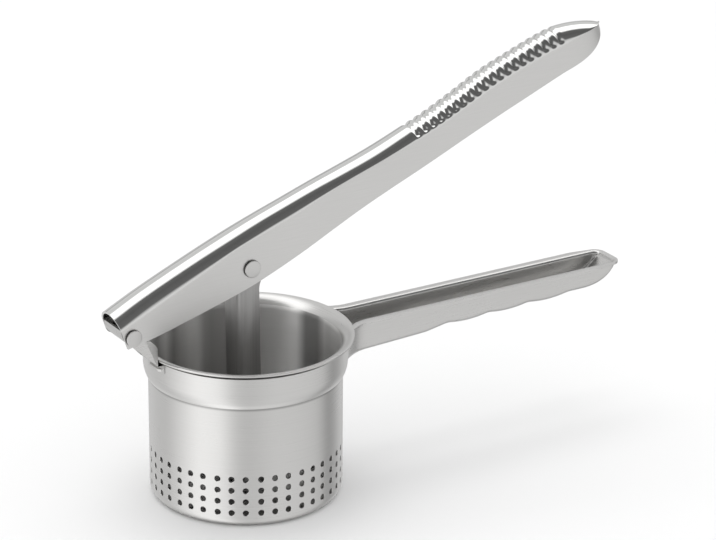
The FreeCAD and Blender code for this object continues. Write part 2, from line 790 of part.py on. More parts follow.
def placeMoving(lever, hingePin, plungerPin, stem, disc):
    hinge = turned(value(hingeX), value(hingeZ), size("restAngle"))
    lever.Placement = hinge
    hingePin.Placement = turned(value(hingeX), value(hingeZ), 0.0)
    knuckle = hinge.multVec(FreeCAD.Vector(value(pinSpan), 0, 0))
    plungerPin.Placement = turned(knuckle.x, knuckle.z, 0.0)
    hang = turned(knuckle.x, knuckle.z, size("plungerTilt"))
    stem.Placement = hang
    # the disc sits off the stem's line, as the pin swings the stem towards the hinge at both ends of its way
    foot = hang.multVec(FreeCAD.Vector(size("discShift"), 0, -size("plungerDrop")))
    disc.Placement = turned(foot.x, foot.z, size("plungerTilt"))


def main():
    makeBasket()
    makeCollar()
    makeHandle()
    makeBracket()
    lever = makeLever()
    hingePin = makePin("hinge_pin", "dim.hingePinRadius", "dim.hingeHeadRadius", "dim.endWidth / 2")
    plungerPin = makePin("plunger_pin", "dim.plungerPinRadius", "dim.plungerHeadRadius", "dim.pinWidth / 2")
    stem = makeStem()
    disc = makeDisc()
    placeMoving(lever, hingePin, plungerPin, stem, disc)
    doc.recompute()
    for item in doc.Objects:
        if "Invalid" in item.State or "Error" in item.State:
            raise ValueError("%s failed" % item.Label)
    for body in parts:
        if body.Shape.isNull() or not body.Shape.isValid() or len(body.Shape.Solids) != 1:
            raise ValueError("%s has no sound solid" % body.Label)
    os.makedirs("parts", exist_ok=True)
    for body in parts:
        body.Shape.exportStep(os.path.join("parts", body.Label + ".step"))
        print(body.Label, round(body.Shape.Volume, 1))


main()
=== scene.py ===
import json
import math

import bmesh
import bpy
from mathutils import Matrix, Vector


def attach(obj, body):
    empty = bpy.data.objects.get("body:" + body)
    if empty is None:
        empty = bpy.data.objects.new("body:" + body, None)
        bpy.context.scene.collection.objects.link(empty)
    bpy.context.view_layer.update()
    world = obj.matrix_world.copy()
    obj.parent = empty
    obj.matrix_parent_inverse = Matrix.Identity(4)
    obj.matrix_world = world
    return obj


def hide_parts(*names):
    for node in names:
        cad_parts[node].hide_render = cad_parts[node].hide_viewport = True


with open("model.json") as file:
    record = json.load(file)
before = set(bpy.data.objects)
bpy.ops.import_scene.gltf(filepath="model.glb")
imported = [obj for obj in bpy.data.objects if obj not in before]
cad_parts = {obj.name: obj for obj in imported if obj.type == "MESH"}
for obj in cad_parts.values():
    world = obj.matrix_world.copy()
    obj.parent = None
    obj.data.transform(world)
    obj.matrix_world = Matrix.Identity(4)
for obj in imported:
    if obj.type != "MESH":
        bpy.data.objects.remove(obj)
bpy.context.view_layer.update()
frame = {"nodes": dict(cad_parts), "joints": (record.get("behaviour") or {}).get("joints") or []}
print("frame loaded")

mm = 0.001
fullTurn = 2.0 * math.pi
joints = {joint["name"]: Vector(joint["pos_m"]) for joint in frame["joints"]}
hingePlace = joints["lever_hinge"]
knucklePlace = joints["plunger_hinge"]


# small helpers for meshes

def shade(mesh, sharp=32.0):
    # smooth, but for edges sharper than so many degrees
    mesh.shade_smooth()
    mesh.set_sharp_from_angle(angle=math.radians(sharp))


def meshPiece(name, points, faces, material):
    # points are in millimetres in the object's own frame
    mesh = bpy.data.meshes.new(name)
    mesh.from_pydata([Vector(point) * mm for point in points], [], faces)
    mesh.validate()
    mesh.materials.append(material)
    shade(mesh)
    piece = bpy.data.objects.new(name, mesh)
    bpy.context.scene.collection.objects.link(piece)
    return piece


def tidyMesh(piece, gap=0.002, sharp=32.0):
    # merged doubles, outward faces and smooth shading with crisp edges
    work = bmesh.new()
    work.from_mesh(piece.data)
    bmesh.ops.remove_doubles(work, verts=work.verts, dist=gap * mm)
    bmesh.ops.recalc_face_normals(work, faces=work.faces)
    work.to_mesh(piece.data)
    work.free()
    shade(piece.data, sharp)


def bakeModifiers(piece):
    # the evaluated shape becomes the piece's own mesh, with no modifier left
    bpy.context.view_layer.update()
    graph = bpy.context.evaluated_depsgraph_get()
    baked = bpy.data.meshes.new_from_object(piece.evaluated_get(graph), depsgraph=graph)
    piece.modifiers.clear()
    piece.data = baked


def rounded(corners, steps):
    # a line through (x, y, radius) corners, each corner that has a radius turned into an arc
    line = []
    count = len(corners)
    for i, (x, y, radius) in enumerate(corners):
        here = Vector((x, y))
        if radius <= 0.0 or i in (0, count - 1):
            line.append(here)
            continue
        back = (Vector(corners[i - 1][:2]) - here).normalized()
        ahead = (Vector(corners[i + 1][:2]) - here).normalized()
        half = back.angle(ahead) / 2.0
        centre = here + (back + ahead).normalized() * radius / math.sin(half)
        start = here + back * radius / math.tan(half) - centre
        end = here + ahead * radius / math.tan(half) - centre
        sweep = start.angle_signed(end)
        for step in range(steps + 1):
            turn = Matrix.Rotation(-sweep * step / steps, 2)
            line.append(centre + turn @ start)
    return line


def lathe(name, line, material, segments, closed=True, along="Z"):
    # turns a line of (radius, height) round an axis; a point on the axis makes a pole
    points = []
    rings = []
    for radius, height in line:
        if radius < 1e-6:
            rings.append([len(points)])
            points.append((0.0, 0.0, height))
            continue
        rings.append(list(range(len(points), len(points) + segments)))
        for step in range(segments):
            angle = fullTurn * step / segments
            points.append((radius * math.cos(angle), radius * math.sin(angle), height))
    faces = []
    above = rings[1:] + rings[:1] if closed else rings[1:]
    for low, high in zip(rings, above):
        if len(low) == 1 and len(high) == 1:
            continue
        for step in range(segments):
            after = (step + 1) % segments
            if len(low) == 1:
                faces.append((low[0], high[step], high[after]))
            elif len(high) == 1:
                faces.append((low[step], high[0], low[after]))
            else:
                faces.append((low[step], high[step], high[after], low[after]))
    if along == "Y":
        points = [(x, z, y) for x, y, z in points]
    return meshPiece(name, points, faces, material)


def gridFaces(rows, columns):
    # quads over a grid of points kept row by row
    return [(r * columns + c, r * columns + c + 1, (r + 1) * columns + c + 1, (r + 1) * columns + c)
            for r in range(rows - 1) for c in range(columns - 1)]


def smoothLine(stations, where):
    # a smooth curve through stations of (position, values...), read at one position
    if where <= stations[0][0]:
        return stations[0][1:]
    if where >= stations[-1][0]:
        return stations[-1][1:]
    k = max(i for i in range(len(stations) - 1) if stations[i][0] <= where)
    before, start, end, after = (stations[max(k - 1, 0)], stations[k], stations[k + 1],
                                 stations[min(k + 2, len(stations) - 1)])
    span = end[0] - start[0]
    t = (where - start[0]) / span
    values = []
    for a, b, c, d in zip(before[1:], start[1:], end[1:], after[1:]):
        enter = (c - a) / max(end[0] - before[0], 1e-9) * span
        leave = (d - b) / max(after[0] - start[0], 1e-9) * span
        values.append((2 * t**3 - 3 * t**2 + 1) * b + (t**3 - 2 * t**2 + t) * enter
                      + (3 * t**2 - 2 * t**3) * c + (t**3 - t**2) * leave)
    return values


def addNode(tree, kind, inputs=None, **settings):
    # an input is either another node's socket or a value
    made = tree.nodes.new(kind)
    for name, value in settings.items():
        setattr(made, name, value)
    for key, value in (inputs or {}).items():
        if isinstance(value, bpy.types.NodeSocket):
            tree.links.new(value, made.inputs[key])
        else:
            made.inputs[key].default_value = value
    return made


def calc(tree, operation, first, second=0.0, third=0.0):
    made = addNode(tree, "ShaderNodeMath", {0: first, 1: second, 2: third}, operation=operation)
    return made.outputs[0]


def greyRamp(tree, share, stops):
    # a grey for each share from 0 to 1, through stops of (place, grey)
    ramp = addNode(tree, "ShaderNodeValToRGB", {0: share})
    while len(ramp.color_ramp.elements) < len(stops):
        ramp.color_ramp.elements.new(0.5)
    for element, (place, grey) in zip(ramp.color_ramp.elements, stops):
        element.position = place
        element.color = (grey, grey, grey, 1.0)
    return ramp.outputs[0]


def multiplied(tree, first, second):
    mixed = addNode(tree, "ShaderNodeMix", {0: 1.0, 6: first, 7: second},
                    data_type="RGBA", blend_type="MULTIPLY")
    return mixed.outputs[2]


# finishes, all of stainless steel

brushing = {"radius": 0.042, "low": 0.3, "high": 0.7}  # metres, and the span that the noise keeps to


def steel(name, look):
    # the brushing runs round the Z axis, or is drawn out along the longest side of "stretch"
    material = bpy.data.materials.new(name)
    material.use_nodes = True
    tree = material.node_tree
    shader = tree.nodes["Principled BSDF"]
    shader.inputs["Metallic"].default_value = 1.0
    where = addNode(tree, "ShaderNodeTexCoord").outputs["Object"]
    if look["grain"] == "round":
        split = addNode(tree, "ShaderNodeSeparateXYZ", {0: where})
        x, y, z = split.outputs
        angle = calc(tree, "ARCTAN2", y, x)
        squares = calc(tree, "ADD", calc(tree, "MULTIPLY", x, x), calc(tree, "MULTIPLY", y, y))
        turned = calc(tree, "MULTIPLY", angle, brushing["radius"])
        radius = calc(tree, "SQRT", squares)
        spot = addNode(tree, "ShaderNodeCombineXYZ", {0: turned, 1: radius, 2: z}).outputs[0]
    else:
        spot = where
    stretch = addNode(tree, "ShaderNodeMapping", {"Vector": spot, "Scale": look["stretch"]},
                      vector_type="TEXTURE").outputs[0]
    fine = addNode(tree, "ShaderNodeTexNoise", {"Vector": stretch, "Scale": 1.0, "Detail": 3.0,
                                                "Roughness": 0.6}).outputs[0]
    broad = addNode(tree, "ShaderNodeTexNoise", {"Vector": where, "Scale": look["cloud"],
                                                 "Detail": 2.0}).outputs[0]

    def spread(noise, lowest, highest):
        return addNode(tree, "ShaderNodeMapRange", {
            "Value": noise, "From Min": brushing["low"], "From Max": brushing["high"],
            "To Min": lowest, "To Max": highest}).outputs[0]

    cloudy = spread(broad, -look["cloudRough"], look["cloudRough"])
    rough = calc(tree, "ADD", spread(fine, *look["rough"]), cloudy)
    tree.links.new(rough, shader.inputs["Roughness"])
    tone = addNode(tree, "ShaderNodeMix", {0: fine, 6: look["dark"] + (1.0,), 7: look["light"] + (1.0,)},
                   data_type="RGBA").outputs[2]
    if look.get("paintedReflectionBands"):
        # painted reflections: bands of light and shade round the wall, counted as a share of the turn from -X
        share = calc(tree, "ADD", calc(tree, "DIVIDE", angle, fullTurn), 0.5)
        tone = multiplied(tree, tone, greyRamp(tree, share, look["paintedReflectionBands"]))
    if look.get("paintedLightLevels"):
        # painted light and shade over the height, counted in tenths of a metre
        level = calc(tree, "MULTIPLY", z, 10.0)
        tone = multiplied(tree, tone, greyRamp(tree, level, look["paintedLightLevels"]))
    tree.links.new(tone, shader.inputs["Base Color"])
    bump = addNode(tree, "ShaderNodeBump", {"Height": fine, "Strength": look["bump"],
                                            "Distance": look["depth"]})
    tree.links.new(bump.outputs[0], shader.inputs["Normal"])
    if look.get("anisotropic"):
        # the scratches run round Z, so a highlight is drawn out across them
        shader.inputs["Anisotropic"].default_value = look["anisotropic"]
        shader.inputs["Anisotropic Rotation"].default_value = 0.25  # of a turn
        tangent = addNode(tree, "ShaderNodeTangent", direction_type="RADIAL", axis="Z")
        tree.links.new(tangent.outputs[0], shader.inputs["Tangent"])
    return material


cupOutsideSteel = steel("cup outside, brushed round", {
    "grain": "round", "stretch": (0.03, 0.03, 0.00022), "cloud": 30.0, "cloudRough": 0.02,
    "rough": (0.27, 0.36), "dark": (0.56, 0.555, 0.545), "light": (0.66, 0.655, 0.645),
    "bump": 0.25, "depth": 0.00004, "anisotropic": 0.55,
    # painted shadow: a dark line round the cup just under the collar's foot
    "paintedLightLevels": [(0.0, 1.0), (0.541, 1.0), (0.547, 0.62), (0.555, 0.5), (0.5555, 1.0), (1.0, 1.0)],
})
# the inside is coloured much lighter than the outside of the same sheet: painted light for the shaded inside
cupInsideSteel = steel("cup inside, brushed round, painted light", {
    "grain": "round", "stretch": (0.02, 0.03, 0.00026), "cloud": 40.0, "cloudRough": 0.02,
    "rough": (0.36, 0.46), "dark": (0.9, 0.893, 0.878), "light": (0.98, 0.973, 0.96),
    "bump": 0.12, "depth": 0.00004, "anisotropic": 0.9,
    # painted reflections: lighter and darker bands round the inside wall
    "paintedReflectionBands": [
        (0.0, 0.75), (0.49, 0.9), (0.508, 0.95), (0.528, 0.4), (0.556, 0.32), (0.574, 0.8), (0.6, 0.98),
        (0.621, 0.92), (0.6475, 0.98), (0.7, 0.6), (0.726, 0.44), (0.74, 0.5), (0.755, 0.9), (0.771, 1.0),
        (0.79, 0.84), (0.806, 0.52), (0.828, 0.82), (0.857, 0.42), (0.9, 0.75), (1.0, 0.75),
    ],
})
frameSteel = steel("collar satin", {
    "grain": "round", "stretch": (0.03, 0.03, 0.00022), "cloud": 35.0, "cloudRough": 0.02,
    "rough": (0.27, 0.35), "dark": (0.58, 0.575, 0.565), "light": (0.67, 0.665, 0.655),
    "bump": 0.2, "depth": 0.00004, "anisotropic": 0.5,
    # painted highlight: a lighter band round the collar just above its foot
    "paintedLightLevels": [(0.0, 1.0), (0.556, 1.0), (0.559, 1.2), (0.568, 1.15), (0.58, 1.0), (1.0, 1.0)],
})
handleSteel = steel("handle satin", {
    "grain": "along", "stretch": (0.012, 0.0005, 0.0004), "cloud": 45.0, "cloudRough": 0.02,
    "rough": (0.26, 0.34), "dark": (0.56, 0.555, 0.545), "light": (0.66, 0.655, 0.645),
    "bump": 0.2, "depth": 0.00004,
})
leverSteel = steel("lever satin", {
    "grain": "along", "stretch": (0.015, 0.0005, 0.0004), "cloud": 30.0, "cloudRough": 0.015,
    "rough": (0.33, 0.4), "dark": (0.62, 0.615, 0.605), "light": (0.7, 0.695, 0.685),
    "bump": 0.15, "depth": 0.00003,
})
crownSteel = steel("lever crown polished", {
    "grain": "along", "stretch": (0.004, 0.002, 0.002), "cloud": 60.0, "cloudRough": 0.01,
    "rough": (0.07, 0.11), "dark": (0.66, 0.66, 0.65), "light": (0.72, 0.72, 0.71),
    "bump": 0.04, "depth": 0.00003,
})
pinSteel = steel("pin satin", {
    "grain": "fine", "stretch": (0.0006, 0.0006, 0.0006), "cloud": 150.0, "cloudRough": 0.03,
    "rough": (0.3, 0.4), "dark": (0.58, 0.575, 0.565), "light": (0.66, 0.655, 0.645),
    "bump": 0.2, "depth": 0.00003,
})
# the plunger's steel, on the stem and the plate, is coloured darker than the other steel: painted shade for
# its place under the lever and inside the cup
stemSteel = steel("plunger satin", {
    "grain": "along", "stretch": (0.0011, 0.0011, 0.15), "cloud": 60.0, "cloudRough": 0.02,
    "rough": (0.38, 0.48), "dark": (0.3, 0.297, 0.292), "light": (0.52, 0.515, 0.51),
    "bump": 0.06, "depth": 0.00004,
})
# painted shadow for the gap round the rivets' heads
paintedRivetShadow = steel("rivet edge, painted shadow", {
    "grain": "fine", "stretch": (0.0006, 0.0006, 0.0006), "cloud": 150.0, "cloudRough": 0.03,
    "rough": (0.35, 0.45), "dark": (0.09, 0.088, 0.085), "light": (0.16, 0.157, 0.152),
    "bump": 0.2, "depth": 0.00003,
})
print("finishes made")


# cup: a drawn sheet turned round Z, with its punched band and floor made by a node tree

cup = {
    "radius": 42.0, "sheet": 1.0, "height": 72.7, "floorBend": 4.35, "lipRoll": 4.7, "lipRadius": 47.0,
    "lipEdge": 0.3, "bendSteps": 8, "lipSteps": 12,
    # punched band and floor
    "bandLow": 4.4, "rows": 4, "rowPitch": 5.2, "columnPitch": 6.1, "strikes": 14, "strikeColumns": 3,
    "hole": 2.6, "burr": 0.14, "tileSteps": 6, "floorRings": 4, "floorPitch": 8.2, "floorHoleSides": 24,
    "weld": 0.01,
    # the floor's upper side lies over this height, and a face counts as turned inwards from this lean on
    "floorFrom": 0.6, "facing": 0.3,
}
hair = 0.001  # what an arc's radius lacks of its side, so that no two points meet


def punchTile(values):
    # one rectangle of sheet with a round hole, its outer skin on y = 0 and its inner one a sheet deeper
    tree = bpy.data.node_groups.new("punch tile", "GeometryNodeTree")
    for name in ("Width", "Height", "Hole", "Shift", "Sheet", "Burr"):
        tree.interface.new_socket(name, in_out="INPUT", socket_type="NodeSocketFloat")
    tree.interface.new_socket("Geometry", in_out="OUTPUT", socket_type="NodeSocketGeometry")
    given = addNode(tree, "NodeGroupInput").outputs
    sides = 4 * values["tileSteps"]
    layers = 6  # outer skin's edge, burr, bore, bore, burr and inner skin's edge
    sheetGrid = addNode(tree, "GeometryNodeMeshGrid", {"Size X": float(sides), "Size Y": layers - 1.0,
                                                       "Vertices X": sides + 1, "Vertices Y": layers})
    place = addNode(tree, "ShaderNodeSeparateXYZ", {0: addNode(tree, "GeometryNodeInputPosition").outputs[0]})
    around = calc(tree, "ADD", place.outputs["X"], sides / 2.0)
    layer = addNode(tree, "FunctionNodeFloatToInt",
                    {0: calc(tree, "ADD", place.outputs["Y"], (layers - 1) / 2.0)}).outputs[0]
    wide = calc(tree, "ADD", calc(tree, "MULTIPLY", given["Hole"], 0.5), given["Burr"])
    narrow = calc(tree, "MULTIPLY", given["Hole"], 0.5)
    deep = calc(tree, "SUBTRACT", given["Sheet"], given["Burr"])

    def byLayer(choices):
        switch = tree.nodes.new("GeometryNodeIndexSwitch")
        switch.data_type = "FLOAT"
        while len(switch.index_switch_items) < layers:
            switch.index_switch_items.new()
        tree.links.new(layer, switch.inputs[0])
        for k, choice in enumerate(choices):
            if isinstance(choice, bpy.types.NodeSocket):
                tree.links.new(choice, switch.inputs[k + 1])
            else:
                switch.inputs[k + 1].default_value = choice
        return switch.outputs[0]

    reach = byLayer([0.0, wide, narrow, narrow, wide, 0.0])
    depth = byLayer([0.0, 0.0, given["Burr"], deep, given["Sheet"], given["Sheet"]])
    square = byLayer([1.0, 0.0, 0.0, 0.0, 0.0, 1.0])

    def trapezium(offset):
        # a wave that runs along the square's sides evenly and stays put along the others
        wave = calc(tree, "MODULO", calc(tree, "ADD", around, offset), float(sides))
        fold = calc(tree, "ABSOLUTE", calc(tree, "SUBTRACT", wave, sides / 2.0))
        low = calc(tree, "MAXIMUM", calc(tree, "SUBTRACT", sides / 4.0, fold), -sides / 8.0)
        return calc(tree, "DIVIDE", calc(tree, "MINIMUM", low, sides / 8.0), sides / 8.0)

    turn = calc(tree, "MULTIPLY", around, fullTurn / sides)
    circleX = calc(tree, "MULTIPLY_ADD", calc(tree, "COSINE", turn), reach, given["Shift"])
    circleZ = calc(tree, "MULTIPLY", calc(tree, "SINE", turn), reach)
    squareX = calc(tree, "MULTIPLY", trapezium(sides / 2.0), calc(tree, "MULTIPLY", given["Width"], 0.5))
    squareZ = calc(tree, "MULTIPLY", trapezium(sides / 4.0), calc(tree, "MULTIPLY", given["Height"], 0.5))
    ring = calc(tree, "SUBTRACT", 1.0, square)
    x = calc(tree, "ADD", calc(tree, "MULTIPLY", circleX, ring), calc(tree, "MULTIPLY", squareX, square))
    z = calc(tree, "ADD", calc(tree, "MULTIPLY", circleZ, ring), calc(tree, "MULTIPLY", squareZ, square))
    spot = addNode(tree, "ShaderNodeCombineXYZ", {0: x, 1: depth, 2: z}).outputs[0]
    moved = addNode(tree, "GeometryNodeSetPosition", {"Geometry": sheetGrid.outputs["Mesh"],
                                                      "Position": spot})
    addNode(tree, "NodeGroupOutput", {0: moved.outputs[0]})
    return tree


def perforations(values, material):
    tree = bpy.data.node_groups.new("perforations", "GeometryNodeTree")
    tree.interface.new_socket("Geometry", in_out="INPUT", socket_type="NodeSocketGeometry")
    defaults = {
        "Radius": values["radius"] * mm, "Sheet": values["sheet"] * mm, "Hole": values["hole"] * mm,
        "Burr": values["burr"] * mm, "Row Pitch": values["rowPitch"] * mm,
        "Column Pitch": values["columnPitch"] * mm, "Band Low": values["bandLow"] * mm,
        "Floor Radius": (values["radius"] - values["floorBend"]) * mm,
        "Floor Pitch": values["floorPitch"] * mm,
    }
    for name, value in defaults.items():
        socket = tree.interface.new_socket(name, in_out="INPUT", socket_type="NodeSocketFloat")
        socket.default_value = value
    tree.interface.new_socket("Geometry", in_out="OUTPUT", socket_type="NodeSocketGeometry")
    given = addNode(tree, "NodeGroupInput").outputs
    columns = values["strikes"] * values["strikeColumns"]
    tileWidth = calc(tree, "MULTIPLY", given["Radius"], fullTurn / columns)
    tile = punchTile(values)
    strike = tree.nodes.new("GeometryNodeJoinGeometry")
    for column in range(values["strikeColumns"]):
        off = column - (values["strikeColumns"] - 1) / 2.0
        shift = calc(tree, "MULTIPLY", calc(tree, "SUBTRACT", given["Column Pitch"], tileWidth), off)
        one = addNode(tree, "GeometryNodeGroup", node_tree=tile)
        wanted = {"Width": tileWidth, "Height": given["Row Pitch"], "Hole": given["Hole"], "Shift": shift,
                  "Sheet": given["Sheet"], "Burr": given["Burr"]}
        for name, socket in wanted.items():
            tree.links.new(socket, one.inputs[name])
        along = addNode(tree, "ShaderNodeCombineXYZ", {0: calc(tree, "MULTIPLY", tileWidth, off)}).outputs[0]
        placed = addNode(tree, "GeometryNodeTransform", {"Geometry": one.outputs[0], "Translation": along})
        tree.links.new(placed.outputs[0], strike.inputs[0])
    strikeWidth = calc(tree, "MULTIPLY", tileWidth, float(values["strikeColumns"]))
    field = addNode(tree, "GeometryNodeMeshGrid", {
        "Size X": calc(tree, "MULTIPLY", strikeWidth, values["strikes"] - 1.0),
        "Size Y": calc(tree, "MULTIPLY", given["Row Pitch"], values["rows"] - 1.0),
        "Vertices X": values["strikes"], "Vertices Y": values["rows"]})
    upright = addNode(tree, "GeometryNodeTransform", {"Geometry": field.outputs["Mesh"],
                                                      "Rotation": (math.radians(90.0), 0.0, 0.0)})
    copies = addNode(tree, "GeometryNodeInstanceOnPoints", {"Points": upright.outputs[0],
                                                            "Instance": strike.outputs[0]})
    loose = addNode(tree, "GeometryNodeRealizeInstances", {0: copies.outputs[0]})
    place = addNode(tree, "ShaderNodeSeparateXYZ", {0: addNode(tree, "GeometryNodeInputPosition").outputs[0]})
    turned = calc(tree, "DIVIDE", place.outputs["X"], given["Radius"])
    angle = calc(tree, "ADD", turned, fullTurn / values["strikes"] / 2.0)
    radius = calc(tree, "SUBTRACT", given["Radius"], place.outputs["Y"])
    halfBand = calc(tree, "MULTIPLY", given["Row Pitch"], values["rows"] / 2.0)
    middle = calc(tree, "ADD", given["Band Low"], halfBand)
    wrapped = addNode(tree, "ShaderNodeCombineXYZ", {
        0: calc(tree, "MULTIPLY", radius, calc(tree, "COSINE", angle)),
        1: calc(tree, "MULTIPLY", radius, calc(tree, "SINE", angle)),
        2: calc(tree, "ADD", place.outputs["Z"], middle)}).outputs[0]
    band = addNode(tree, "GeometryNodeSetPosition", {"Geometry": loose.outputs[0], "Position": wrapped})

    # floor: a flat sheet filled between its rim and rings of holes, once for each skin, and the holes' walls
    rim = addNode(tree, "GeometryNodeCurvePrimitiveCircle", {"Resolution": columns * values["tileSteps"],
                                                             "Radius": given["Floor Radius"]})
    spots = tree.nodes.new("GeometryNodeJoinGeometry")
    for ring in range(values["floorRings"] + 1):
        # each ring has six holes more, and the middle's three points are merged into one
        circle = addNode(tree, "GeometryNodeMeshCircle", {
            "Vertices": max(6 * ring, 3),
            "Radius": calc(tree, "MULTIPLY", given["Floor Pitch"], float(ring))})
        tree.links.new(circle.outputs[0], spots.inputs[0])
    weld = values["weld"] * mm
    single = addNode(tree, "GeometryNodeMergeByDistance", {"Geometry": spots.outputs[0], "Distance": weld})
    holeRadius = calc(tree, "MULTIPLY", given["Hole"], 0.5)
    holeSides = values["floorHoleSides"]
    cut = addNode(tree, "GeometryNodeCurvePrimitiveCircle", {"Resolution": holeSides, "Radius": holeRadius})
    cuts = addNode(tree, "GeometryNodeInstanceOnPoints", {"Points": single.outputs[0],
                                                          "Instance": cut.outputs[0]})
    cutLines = addNode(tree, "GeometryNodeRealizeInstances", {0: cuts.outputs[0]})
    outlines = tree.nodes.new("GeometryNodeJoinGeometry")
    tree.links.new(rim.outputs[0], outlines.inputs[0])
    tree.links.new(cutLines.outputs[0], outlines.inputs[0])
    flat = addNode(tree, "GeometryNodeFillCurve", {0: outlines.outputs[0]})
    lift = addNode(tree, "ShaderNodeCombineXYZ", {2: given["Sheet"]}).outputs[0]
    top = addNode(tree, "GeometryNodeTransform", {"Geometry": flat.outputs[0], "Translation": lift})
    wall = addNode(tree, "GeometryNodeMeshCylinder", {"Vertices": holeSides, "Radius": holeRadius,
                                                      "Depth": given["Sheet"]}, fill_type="NONE")
    walls = addNode(tree, "GeometryNodeInstanceOnPoints", {"Points": single.outputs[0],
                                                           "Instance": wall.outputs["Mesh"]})
    half = addNode(tree, "ShaderNodeCombineXYZ", {2: calc(tree, "MULTIPLY", given["Sheet"], 0.5)}).outputs[0]
    raised = addNode(tree, "GeometryNodeTransform", {"Geometry": walls.outputs[0], "Translation": half})

    whole = tree.nodes.new("GeometryNodeJoinGeometry")
    for piece in (given["Geometry"], band.outputs[0], flat.outputs[0], top.outputs[0], raised.outputs[0]):
        tree.links.new(piece, whole.inputs[0])
    solid = addNode(tree, "GeometryNodeRealizeInstances", {0: whole.outputs[0]})
    welded = addNode(tree, "GeometryNodeMergeByDistance", {"Geometry": solid.outputs[0], "Distance": weld})
    dressed = addNode(tree, "GeometryNodeSetMaterial", {"Geometry": welded.outputs[0], "Material": material})
    addNode(tree, "NodeGroupOutput", {0: dressed.outputs[0]})
    return tree


def makeCup():
    outer = cup["radius"]
    inner = outer - cup["sheet"]
    low = cup["bandLow"]
    high = low + cup["rows"] * cup["rowPitch"]
    under = cup["height"] - cup["sheet"]
    segments = cup["strikes"] * cup["strikeColumns"] * cup["tileSteps"]
    bend = cup["floorBend"]
    foot = rounded([(outer - bend, 0.0, 0), (outer, 0.0, bend - hair), (outer, low, 0)], cup["bendSteps"])
    footInside = rounded([(inner, low, 0), (inner, cup["sheet"], bend - cup["sheet"] - hair),
                          (outer - bend, cup["sheet"], 0)], cup["bendSteps"])
    edge = cup["lipEdge"]
    top = rounded([
        (outer, high, 0), (outer, under, cup["lipRoll"] - hair),
        (cup["lipRadius"], under, edge - hair), (cup["lipRadius"], cup["height"], edge - hair),
        (inner, cup["height"], cup["lipRoll"] + cup["sheet"] - hair), (inner, high, 0)], cup["lipSteps"])
    points, faces = [], []
    for line in (foot, footInside, top):
        part = lathe("cupPart", line, cupOutsideSteel, segments, closed=False)
        base = len(points)
        points += [vertex.co / mm for vertex in part.data.vertices]
        faces += [tuple(base + v for v in face.vertices) for face in part.data.polygons]
        bpy.data.objects.remove(part)
    piece = meshPiece("cup", points, faces, cupOutsideSteel)
    punched = piece.modifiers.new("perforations", "NODES")
    punched.node_group = perforations(cup, cupOutsideSteel)
    bakeModifiers(piece)
    tidyMesh(piece, gap=0.012, sharp=30.0)
    # the inside has its own brushing, with painted light and painted reflections
    piece.data.materials.clear()
    piece.data.materials.append(cupOutsideSteel)
    piece.data.materials.append(cupInsideSteel)
    for face in piece.data.polygons:
        middle = face.center / mm
        reach = math.hypot(middle.x, middle.y)
        inward = face.normal.x * middle.x + face.normal.y * middle.y < -cup["facing"] * reach
        onWall = inward and reach < outer - 0.5 * cup["sheet"]
        onFloor = cup["floorFrom"] < middle.z < bend and face.normal.z > cup["facing"]
        if onWall or onFloor:
            face.material_index = 1
    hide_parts("basket")
    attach(piece, "press_frame")


makeCup()
print("cup made")


# collar ring, its shoulder drawn in to a thin edge round the cup

collar = {
    "radius": 44.1, "sheet": 0.8, "top": 69.7, "shoulder": 61.3, "foot": 55.5, "edge": 0.55, "fit": 0.05,
    "shoulderSteps": 12, "segments": 256,
}


def makeCollar():
    inner = cup["radius"] + collar["fit"]
    rise = collar["shoulder"] - collar["foot"]
    line = [Vector((inner, collar["foot"])), Vector((inner + collar["edge"], collar["foot"]))]
    draw = collar["radius"] - inner - collar["edge"]
    bend = (rise * rise + draw * draw) / (2.0 * draw)
    steps = collar["shoulderSteps"]
    for step in range(1, steps + 1):
        drop = rise * (1.0 - step / steps)
        reach = collar["radius"] - bend + math.sqrt(bend * bend - drop * drop)
        line.append(Vector((reach, collar["shoulder"] - drop)))
    hollow = collar["radius"] - collar["sheet"]
    line += [Vector((collar["radius"], collar["top"])), Vector((hollow, collar["top"])),
             Vector((hollow, collar["shoulder"]))]
    piece = lathe("collar", line, frameSteel, collar["segments"])
    tidyMesh(piece)
    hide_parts("collar_ring")
    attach(piece, "press_frame")


makeCollar()
print("collar made")


# lower handle, a trough drawn from one sheet with a flange round its mouth

trough = {
    "top": 70.05, "sheet": 1.0, "half": 8.0, "tip": 191.1, "tipCorner": 3.6, "flange": 3.2, "flangeTip": 1.6,
    "fadeFrom": 178.0, "flareHalf": 13.0, "flareX": 57.0, "mouthBend": 0.5, "weld": 0.05,
    # the keel line underneath, and how its corners are eased
    "rootX": 40.0, "rootZ": 54.15, "neckX": 88.0, "neckZ": 56.05, "fingerX": 100.0, "fingerZ": 58.15,
    "fingerPitch": 21.5, "fingerRise": 0.4, "fingerDepth": 1.1, "fingers": 3, "sweepFrom": 175.0,
    "sweepSoft": 0.2, "ease": 3.0, "easeSteps": 12, "easeEnd": 4.0,
    # the bend between wall and keel, and where the tip's walls run in
    "edge": 2.6, "edgeLeast": 0.4, "edgeClear": 0.3, "pole": 181.0,
    # rows along the mouth, round its corner and across its end, and points across the wall
    "rows": 150, "cornerRows": 10, "endRows": 4, "mouthSteps": 3, "edgeSteps": 8, "wallSteps": 18,
}


def troughHalf(x):
    reach = collar["radius"]
    if x >= trough["flareX"]:
        return trough["half"]
    run = trough["flareX"] - reach
    swell = trough["flareHalf"] - trough["half"]
    arc = (run * run + swell * swell) / (2.0 * swell)
    off = trough["flareX"] - max(x, reach)
    return trough["half"] + arc - math.sqrt(arc * arc - off * off)


